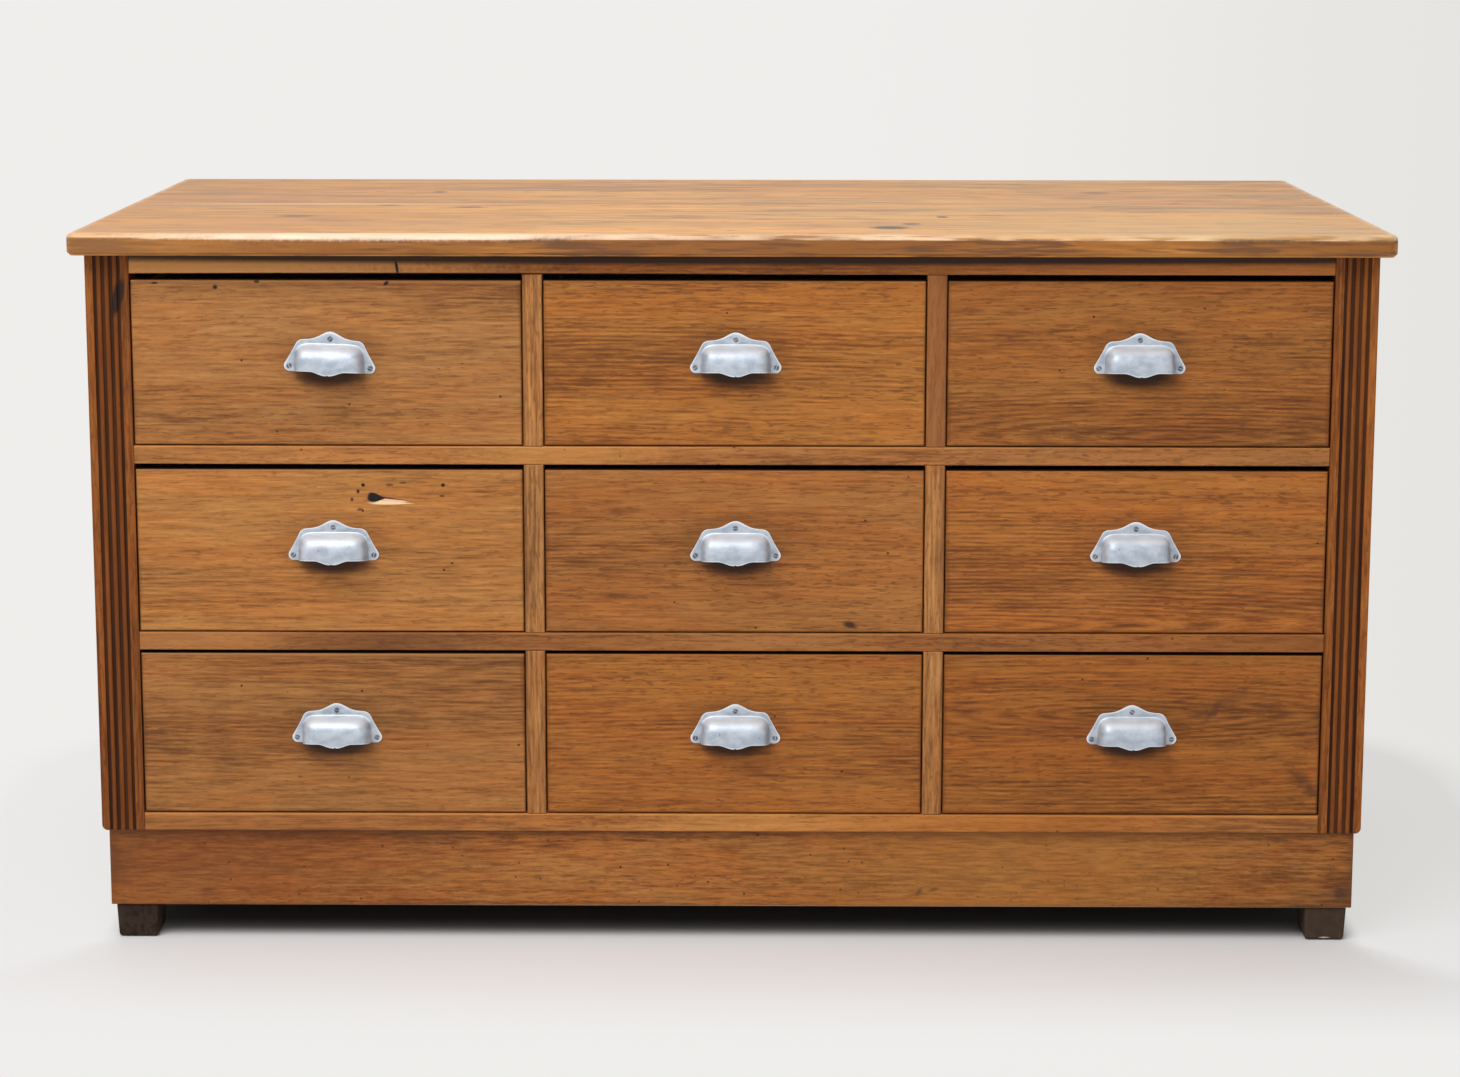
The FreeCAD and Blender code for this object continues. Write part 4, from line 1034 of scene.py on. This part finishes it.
@dataclass
class Carcase:
    """Worktop, frame, panels, inner parts, plinth and feet."""

    top: float = 0.8945
    slab_edge: float = 0.0006
    front: float = -0.372
    reed_middle: float = 0.759
    reed_half: float = 0.0165
    crest: float = 0.0009
    hollow: float = 0.0027
    rail_edge: float = 0.0008
    divider_edge: float = 0.0006
    back_pitch: float = 0.18675
    back_edge: float = 0.0025
    back_tone: Colour = paint(150, 104, 64)
    plinth_face: float = -0.362
    foot_face: float = -0.350
    foot_edge: float = 0.0045

    def dress_top(self) -> None:
        """Finishes the worktop: lighter, glossier boards with long straight figure, stains, dark seams, a
        painted sheen over the right part and a painted highlight on the rounded front edge.
        """
        stain, burn = (88, 58, 38), (80, 54, 38)
        # The first patch makes the left part darker and warmer; the second is a painted sheen over the right
        # part.
        spots = ((-0.620, -0.100, 0.340, 0.450, (173, 110, 32), 0.8, 0.40),
                 (0.600, -0.300, 0.320, 0.160, (208, 170, 110), 0.8, 0.40),
                 (-0.520, -0.004, 0.220, 0.008, (240, 204, 156), 0.6, 0.60),
                 (-0.454, -0.020, 0.014, 0.008, stain, 0.5, 0.85),
                 (-0.346, -0.046, 0.020, 0.009, stain, 0.5, 0.85),
                 (-0.556, -0.173, 0.024, 0.013, (104, 64, 36), 0.6, 0.80),
                 (-0.506, -0.226, 0.034, 0.014, (150, 98, 52), 0.9, 0.60),
                 (-0.709, 0.160, 0.040, 0.022, (120, 76, 46), 0.9, 0.55),
                 (-0.407, 0.181, 0.009, 0.011, (84, 54, 38), 0.5, 0.85),
                 (0.194, -0.312, 0.023, 0.017, (58, 46, 40), 0.4, 0.95),
                 (0.223, -0.265, 0.011, 0.012, burn, 0.5, 0.85),
                 (0.267, -0.172, 0.007, 0.012, burn, 0.5, 0.90),
                 (0.500, 0.182, 0.018, 0.013, (100, 64, 42), 0.6, 0.75),
                 (0.750, -0.115, 0.050, 0.024, (122, 80, 56), 0.9, 0.60))
        marks = tuple(Mark((x, y, self.top), (wide, long, MARK_DEPTH), paint(*tone), *more)
                      for x, y, wide, long, tone, *more in spots)
        # Along the front edge the second mark is a pale band on the rounding at the left, wear with painted
        # highlight.
        edge = (marks_on(-0.400, 0.020, (-0.72, 0.878, 0.16, 0.016, (214, 150, 78), 0.6, 0.16))
                + marks_on(-0.398, 0.010, (-0.43, 0.892, 0.24, 0.005, (244, 220, 194), 0.6, 0.65))
                + marks_on(-0.400, 0.020, (0.0, 0.878, 0.17, 0.016, (116, 72, 34), 0.7, 0.25)))
        # Pale rounding of the front edge: wear with a painted highlight, over a face painted darker, with a
        # painted shadow line.
        worn = ArrisWearAndHighlight(paint(230, 194, 158), (0.82, 0.68, 0.42), paint(100, 62, 34), rounding=0.007,
                         inward=0.016)
        scale = OakScale(fibre=(9.0, 150.0, 150.0), streak=(3.0, 30.0, 30.0), blotch=(1.2, 9.0, 9.0),
                         warm=(2.0, 14.0, 14.0), dash=(14.0, 70.0, 70.0), speck=(20.0, 45.0, 45.0))
        slab = OakFinish("worktop_oak", paint(203, 147, 79), cell=(0.0, 0.2, 0.0), scale=scale, seam=0.75,
                         seed=2.0, ring_gap=0.022, heart=(0.0, -0.35), tilt=(0.02, 0.03), ring_share=-0.12,
                         fibre_share=1.8, streak_share=0.55, blotch_share=0.8, dash_share=0.62, rough=0.42,
                         shine=0.42, grime=0.15, wear=0.0, arris=worn, marks=marks + edge)
        dress("top_boards", slab, self.slab_edge)

    def dress_posts(self) -> None:
        """Finishes the two reeded posts, with a dark stain high on the left one."""
        stain = (0.013 - self.reed_middle, 0.814, 0.007, 0.022, (26, 20, 17), 0.35, 0.9, 0.25)
        stained = marks_on(self.front, BROAD_DEPTH, stain)
        for side, name, tone, seed, marks in ((-1, "left", (130, 74, 29), 11.0, stained),
                                              (1, "right", (141, 83, 34), 14.3, ())):
            reeds = ReedBand(side * self.reed_middle, self.reed_half, self.front + self.crest,
                             self.front + self.hollow)
            post = OakFinish(f"{name}_front_post_oak", paint(*tone), Grain.UPRIGHT, seed, grime=0.35,
                             wear=0.0, edge_reach=0.003, shine=0.18, reeds=reeds, marks=marks)
            dress(f"{name}_front_post", post)

    def dress_rails(self) -> None:
        """Finishes the rails, each with its broad patches of tone, the top rail also with a painted shadow
        under the worktop, a painted dark line along its lower edge and a painted pool of light at its left,
        and the dividers of the front.
        """
        # Painted shadow of the worktop, thinner towards the left; a painted dark line along the rail's lower
        # edge; then a real split.
        shadow = Mark((0.12, self.front, 0.866), (1.15, BROAD_DEPTH, 0.0108), paint(34, 18, 8), 0.30, 0.96,
                      fray=SMOOTH_OUTLINE)
        gap_shade = (-0.35, 0.843, 0.40, 0.0017, (12, 8, 6), 0.3)
        split = (-0.4058, 0.8515, 0.0018, 0.0092, (24, 15, 10), 0.35, 1.0, -0.15)
        shade_and_split = (shadow, *marks_on(self.front, BROAD_DEPTH, gap_shade), *marks_on(self.front, MARK_DEPTH, split))
        rails = (
            ("bottom_rail", (183, 120, 59), (), (
                (-0.55, 0.24, (138, 84, 42), 0.35), (0.0, 0.10, (218, 152, 82), 0.25),
                (0.33, 0.20, (164, 94, 26), 0.40))),
            ("lower_drawer_rail", (150, 96, 48), (), (
                (-0.65, 0.10, (186, 126, 70), 0.40), (-0.43, 0.11, (98, 56, 28), 0.50),
                (0.64, 0.12, (140, 80, 26), 0.35))),
            ("upper_drawer_rail", (171, 114, 60), (), (
                (-0.21, 0.11, (205, 142, 70), 0.35), (0.54, 0.22, (130, 82, 42), 0.35))),
            # On the top rail the first patch is a painted pool of light at the left, where the worktop's
            # shadow thins.
            ("top_rail", (171, 104, 42), shade_and_split, (
                (-0.64, 0.30, (197, 142, 82), 0.75), (0.60, 0.30, (184, 118, 58), 0.40))))
        for index, (node, tone, marks, tones_and_light) in enumerate(rails):
            low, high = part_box(node)
            level = (low[2] + high[2]) / 2
            patches = marks_on(self.front, BROAD_DEPTH, *((x, level, half, 0.03, cast, 0.7, strength)
                                                          for x, half, cast, strength in tones_and_light))
            rail = OakFinish(f"{node}_oak", paint(*tone), seed=21.0 + index * 2.7, holes=26.0,
                             blotch_share=1.6, streak_share=1.2, fibre_share=2.4, dash_share=0.75,
                             marks=patches + marks)
            dress(node, rail, self.rail_edge)
        dark = marks_on(self.front, BROAD_DEPTH, (0.25, 0.737, 0.03, 0.135, (126, 74, 37), 0.12, 0.65))
        divider = OakFinish("divider_oak", paint(162, 111, 61), Grain.UPRIGHT, 33.0, (0.4, 0.0, 0.235),
                            marks=dark)
        dress("drawer_dividers", divider, self.divider_edge)

    def dress_sides(self) -> None:
        """Finishes the side and back panels and the frame round them."""
        for node, seed in (("left_side_panel", 41.0), ("right_side_panel", 43.9)):
            dress(node, OakFinish(f"{node}_oak", paint(160, 105, 60), Grain.DEEP, seed))
        for node, grain, cell in (("side_rails", Grain.DEEP, (0.8, 0.0, 0.35)),
                                  ("back_posts", Grain.UPRIGHT, (0.8, 0.0, 0.0)),
                                  ("back_rails", Grain.ACROSS, (0.0, 0.0, 0.23))):
            dress(node, OakFinish(f"{node}_oak", self.back_tone, grain, 47.0, cell, rough=0.56))
        boards = OakFinish("back_boards_oak", self.back_tone, Grain.UPRIGHT, 47.0,
                           (self.back_pitch, 0.0, 0.0), board_share=0.6, rough=0.6, seam=0.9)
        dress("back_boards", boards, self.back_edge)

    def dress_inside(self) -> None:
        """Finishes the runners, kickers, guides, stops and buttons in pale inner wood."""
        for node in ("side_runners", "centre_runners", "kickers", "drawer_guides", "drawer_stops",
                     "top_buttons"):
            dress(node, OakFinish(f"{node}_wood", paint(180, 140, 96), Grain.DEEP, 55.0, (0.2, 0.0, 0.23),
                                  rough=0.66, grime=0.2, wear=0.0))

    def dress_base(self) -> None:
        """Finishes the scuffed plinth and the dark worn feet."""
        scuffs = marks_on(self.plinth_face, BROAD_DEPTH,
                          (0.236, 0.0635, 0.003, 0.0060, (52, 30, 18), 0.5, 1.0, 0.6),
                          (0.255, 0.0670, 0.006, 0.0022, (60, 34, 20), 0.5, 1.0, -0.3),
                          (-0.656, 0.0647, 0.009, 0.0022, (70, 42, 26), 0.8, 0.8),
                          (-0.570, 0.0950, 0.016, 0.0045, (96, 52, 26), 0.9, 0.45),
                          (0.765, 0.0650, 0.024, 0.0250, (78, 44, 24), 0.8, 0.45),
                          (-0.772, 0.0900, 0.020, 0.0220, (84, 50, 30), 0.8, 0.45),
                          (0.764, 0.0625, 0.008, 0.0055, (60, 36, 28), 0.6, 0.75),
                          (-0.680, 0.0940, 0.300, 0.1200, (118, 60, 20), 0.8, 0.45),
                          (0.360, 0.0940, 0.240, 0.1200, (175, 117, 49), 0.7, 0.35),
                          (0.200, 0.0442, 0.600, 0.0013, (196, 156, 124), 0.6, 0.55))
        mottled = OakScale(warm=(9.0, 26.0, 26.0), fibre=(26.0, 280.0, 280.0))
        for part, grain in (("front_board", Grain.ACROSS), ("back_board", Grain.ACROSS),
                            ("side_boards", Grain.DEEP)):
            plinth = OakFinish(f"plinth_{part}_oak", paint(146, 93, 43), grain, 61.0, scale=mottled,
                               holes=52.0, blotch_share=0.8, dash_share=0.65, fibre_share=2.2,
                               streak_share=0.3, ring_share=-0.06, wear=0.0, edge_reach=0.012, grime=0.40,
                               shaded=0.0055, warm_share=1.0, marks=scuffs)
            dress(f"plinth_{part}", plinth, self.rail_edge)
        gritty = OakScale(fibre=(110.0, 130.0, 130.0), streak=(60.0, 80.0, 80.0), blotch=(20.0, 26.0, 26.0),
                          speck=(120.0, 160.0, 160.0))
        chips = (marks_on(self.foot_face, 0.060, (0.739, 0.022, 0.05, 0.05, (92, 74, 56), 0.5, 0.28))
                 + marks_on(self.foot_face, BROAD_DEPTH,
                            (0.747, 0.0035, 0.006, 0.0009, (214, 208, 198), 0.6, 0.85),
                            (-0.715, 0.022, 0.0016, 0.016, (112, 98, 88), 0.6, 0.6)))
        feet = OakFinish("foot_wood", paint(47, 32, 23), Grain.UPRIGHT, 71.0, (0.8, 0.4, 0.0), scale=gritty,
                         rough=0.7, shine=0.25, blotch_share=1.2, streak_share=3.2, fibre_share=5.0,
                         shaded=0.010, marks=chips)
        dress("feet", feet, self.foot_edge)

    def dress(self) -> None:
        """Finishes every part of the carcase."""
        for finish in (self.dress_top, self.dress_posts, self.dress_rails, self.dress_sides,
                       self.dress_inside, self.dress_base):
            finish()


@dataclass
class Studio:
    """Pale floor that fades into the backdrop, soft lamps and the camera."""

    paper: Colour = paint(239, 238, 236)
    dim_paper: Colour = paint(229, 228, 225)
    dim_aside: Step = (0.02, 0.26)
    dim_behind: Step = (3.0, 5.0)
    ambient: float = 0.30
    floor_tone: Colour = paint(237, 236, 236)
    floor_shade: float = 0.97
    floor_rough: float = 0.85
    floor_shine: float = 0.2
    floor_level: float = -0.0004
    floor_reach: float = 60.0
    footprint: Triple = (0.78, 0.37, 0.0)
    under_shade_tone: Colour = paint(27, 25, 25)
    under_shade_step: Step = (-0.095, -0.004, 0.93, 0.0)
    end_weight: float = 3.0
    far_step: Step = (0.02, 0.38)
    end_from: float = -0.015
    end_to: float = 0.02
    end_spread: float = 1.2
    end_share: float = 0.76
    lens: float = 76.466
    shift: float = -120.0 / 1460.0
    sensor: float = 36.0
    eye: Triple = (0.0223, -4.1103, 1.2688)
    pitch: float = math.radians(9.1536)
    yaw: float = math.radians(-0.3640)
    roll: float = math.radians(0.06)

    def seen_directly(self, tree: Tree) -> Term:
        """Gives 1 for what the camera sees, straight, mirrored or through glass, and 0 for other light."""
        straight, glossy, through = (source(tree, "ShaderNodeLightPath", f"Is {ray} Ray")
                                     for ray in ("Camera", "Glossy", "Transmission"))
        return straight.most(glossy).most(through)

    def build_world(self) -> None:
        """Makes the even light all round, with the pale backdrop where it is seen."""
        world = bpy.data.worlds.new("studio")
        world.use_nodes = True
        world.node_tree.nodes.clear()
        bpy.context.scene.world = world
        seen = self.seen_directly(world.node_tree)
        light = seen.made("ShaderNodeBackground", {"Color": SAME_SIZE, "Strength": self.ambient})
        backdrop = seen.made("ShaderNodeBackground", {"Color": self.paper})
        seen.blend(light, backdrop).finish("ShaderNodeOutputWorld")

    def build_floor(self) -> bpy.types.Object:
        """Makes the floor, a wide flat sheet painted dark under the cabinet as shade, whose far parts take
        the backdrop's colour.

        Returns:
            The floor's object.
        """
        side = self.floor_reach * np.array([-1.0, 0.0, 1.0])
        across, deep = np.meshgrid(side, side[::-1])
        points = np.stack([across, deep, np.full_like(across, self.floor_level)], axis=2)
        floor = grid_object("studio_floor", points[None])
        material, at = new_material("pale_floor")
        cloud = at.noise((1.4, 1.4, 1.4), 3.0)
        colour = cloud.mix(shade(self.floor_tone, (self.floor_shade,) * 3), self.floor_tone)
        beyond = at.size() - self.footprint
        past_end, past_front, _ = beyond.parts()
        # Painted shade on the floor under the cabinet, darker inside the footprint.
        under = (past_end * self.end_weight).most(past_front).step(*self.under_shade_step)
        inputs = {"Base Color": under.mix(colour, self.under_shade_tone), "Roughness": self.floor_rough,
                  "Specular IOR Level": self.floor_shine}
        matt = at.made("ShaderNodeBsdfPrincipled", inputs)
        across, deep, _ = (at - self.eye).parts()
        dimmed = (across / deep).step(*self.dim_aside) * deep.step(*self.dim_behind)
        paper = at.made("ShaderNodeEmission", {"Color": dimmed.mix(self.paper, self.dim_paper)})
        spread = past_front.most(0.0) * self.end_spread + self.end_to
        far = beyond.most(NO_SHIFT).length().step(*self.far_step)
        far = far.most(past_end.step(self.end_from, spread, 0.0, self.end_share))
        (far * self.seen_directly(at.tree)).blend(matt, paper).finish()
        floor.data.materials.append(material)
        return floor

    def add_lamp(self, name: str, place: Triple, aim: Triple, face: Pair, power: float,
                 mirrored: bool = True) -> None:
        """Hangs one soft lamp.

        Args:
            name: Its name.
            place: Where it hangs.
            aim: The spot that it faces.
            face: Width and height of its face.
            power: Power in watts.
            mirrored: Whether metal mirrors its face.
        """
        data = bpy.data.lights.new(name, "AREA")
        data.shape = "RECTANGLE"
        data.size, data.size_y = face
        data.energy = power
        lamp = bpy.data.objects.new(name, data)
        bpy.context.scene.collection.objects.link(lamp)
        lamp.visible_glossy = mirrored
        lamp.location = place
        lamp.rotation_euler = (Vector(aim) - Vector(place)).to_track_quat("-Z", "Y").to_euler()

    def build_lamps(self) -> None:
        """Hangs a large lamp high at the left, a weaker one at the right and one over the back."""
        self.add_lamp("window_lamp", (-1.3, -2.7, 3.7), (0.0, -0.2, 0.5), (2.8, 2.2), 145.0)
        self.add_lamp("fill_lamp", (0.8, -5.2, 1.7), (0.1, 0.0, 0.4), (3.0, 2.0), 44.0, mirrored=False)
        self.add_lamp("top_lamp", (-0.4, 1.4, 3.4), (0.0, 0.1, 0.5), (2.8, 1.6), 20.0, mirrored=False)

    def build_camera(self) -> None:
        """Sets the camera where the photograph was taken from."""
        data = bpy.data.cameras.new("camera")
        data.sensor_fit = "HORIZONTAL"
        data.sensor_width = self.sensor
        data.lens = self.lens
        data.shift_y = self.shift
        camera = bpy.data.objects.new("camera", data)
        bpy.context.scene.collection.objects.link(camera)
        level = Euler((math.pi / 2 - self.pitch, 0.0, -self.yaw)).to_matrix()
        rolled = level @ Matrix.Rotation(self.roll, 3, "Z")
        camera.matrix_world = Matrix.Translation(self.eye) @ rolled.to_4x4()
        bpy.context.scene.camera = camera

    def build(self) -> None:
        """Makes floor, light and camera."""
        self.build_world()
        log.info("stage %s", self.build_floor().name)
        self.build_lamps()
        self.build_camera()
        bpy.context.scene.view_settings.view_transform = "Standard"


def drawer_marks() -> dict[str, tuple[Mark, ...]]:
    """Lists the knots, holes and nicks of the fronts that have them.

    Returns:
        The marks of each such drawer.
    """
    hole, pit, drop = (14, 9, 6), (40, 22, 12), MarkShape.DROP
    rows = {
        "top_left": (
            (-0.6271, 0.8267, 0.0027, 0.0026, pit), (-0.7004, 0.8317, 0.0036, 0.0016, pit, 0.35, 0.9),
            (-0.5765, 0.8335, 0.0034, 0.0017, hole, 0.35, 0.9),
            (-0.4192, 0.8315, 0.0036, 0.0021, hole, 0.35, 1.0, -0.6)),
        "middle_left": (
            (-0.4160, 0.5606, 0.0280, 0.0021, (240, 196, 150), 0.20, 1.0, 0.03, drop),
            (-0.4110, 0.5634, 0.0170, 0.0018, (222, 184, 160), 0.25, 1.0, 0.10, drop),
            (-0.4140, 0.5655, 0.0220, 0.0008, (84, 42, 20), 0.40, 1.0, 0.13, drop),
            (-0.4350, 0.5668, 0.0115, 0.0046, hole, 0.16, 1.0, 0.06, drop),
            (-0.4515, 0.5827, 0.0022, 0.0022, hole), (-0.4578, 0.5746, 0.0020, 0.0024, pit),
            (-0.4654, 0.5646, 0.0018, 0.0026, pit, 0.35, 0.8),
            (-0.4558, 0.5521, 0.0034, 0.0014, pit, 0.35, 0.8),
            (-0.4184, 0.5830, 0.0050, 0.0014, pit, 0.35, 0.7),
            (-0.4024, 0.5856, 0.0044, 0.0011, pit, 0.35, 0.7),
            (-0.3533, 0.5829, 0.0024, 0.0022, hole), (-0.3548, 0.5692, 0.0034, 0.0011, pit, 0.35, 0.8)),
        "middle_centre": ((0.147, 0.4085, 0.009, 0.0042, (66, 36, 20), 0.5, 1.0, 0.3),),
        "bottom_right": (
            (0.610, 0.311, 0.030, 0.0075, (92, 50, 22), 0.95, 0.6, -0.45),
            (0.596, 0.297, 0.014, 0.0040, (80, 42, 19), 0.90, 0.6, -0.8),
            (0.706, 0.216, 0.018, 0.0075, (84, 44, 20), 0.95, 0.7, 0.7),
            (0.722, 0.198, 0.013, 0.0055, (78, 40, 18), 0.90, 0.7, 0.5))}
    return {name: marks_on(DRAWER_FACE, MARK_DEPTH, *marks) for name, marks in rows.items()}


def drawers() -> list[Drawer]:
    """Lists the nine drawers, row by row from the top left.

    Returns:
        The drawers with their pulls, tones, hearts, tilts and figures of the grain, and marks.
    """
    # Each drawer's tone is fitted on its own; besides the wood's own differences it partly makes up for how
    # the light falls across the front.
    looks = {"top_left": ((149, 100, 53), (0.030, 0.130), 0.06, -0.12),
             "top_centre": ((156, 99, 42), (0.014, 0.070), 0.07, -0.19),
             "top_right": ((142, 89, 38), (0.012, 0.062), -0.09, -0.24),
             "middle_left": ((157, 104, 52), (0.035, 0.160), -0.07, -0.10),
             "middle_centre": ((144, 91, 42), (0.020, 0.080), 0.06, -0.22),
             "middle_right": ((153, 93, 38), (0.012, 0.060), 0.08, -0.26),
             "bottom_left": ((147, 97, 49), (0.025, 0.100), 0.06, -0.12),
             "bottom_centre": ((148, 91, 36), (0.016, 0.030), -0.06, -0.24),
             "bottom_right": ((143, 86, 31), (0.012, -0.055), 0.10, -0.24)}
    columns = {"left": (-0.489, 0.45), "centre": (0.0055, 0.62), "right": (0.497, 0.62)}
    rows = {"top": 0.7225, "middle": 0.489, "bottom": 0.258}
    marks, made = drawer_marks(), []
    for name, (tone, *figure) in looks.items():
        row, column = name.split("_")
        across, dashes = columns[column]
        tilt = math.radians(-2.0) if name == "top_left" else 0.0
        made.append(Drawer(name, across, rows[row], 1.7 + 2.3 * len(made), paint(*tone), *figure,
                           dash_share=dashes, pull_tilt=tilt, marks=marks.get(name, ())))
    return made


def main() -> None:
    """Builds the studio, dresses the carcase and makes the drawers' fittings."""
    logging.basicConfig(level=logging.INFO, format="%(message)s")
    Studio().build()
    Carcase().dress()
    for drawer in drawers():
        drawer.dress()
        drawer.build()


if __name__ == "__main__":
    main()
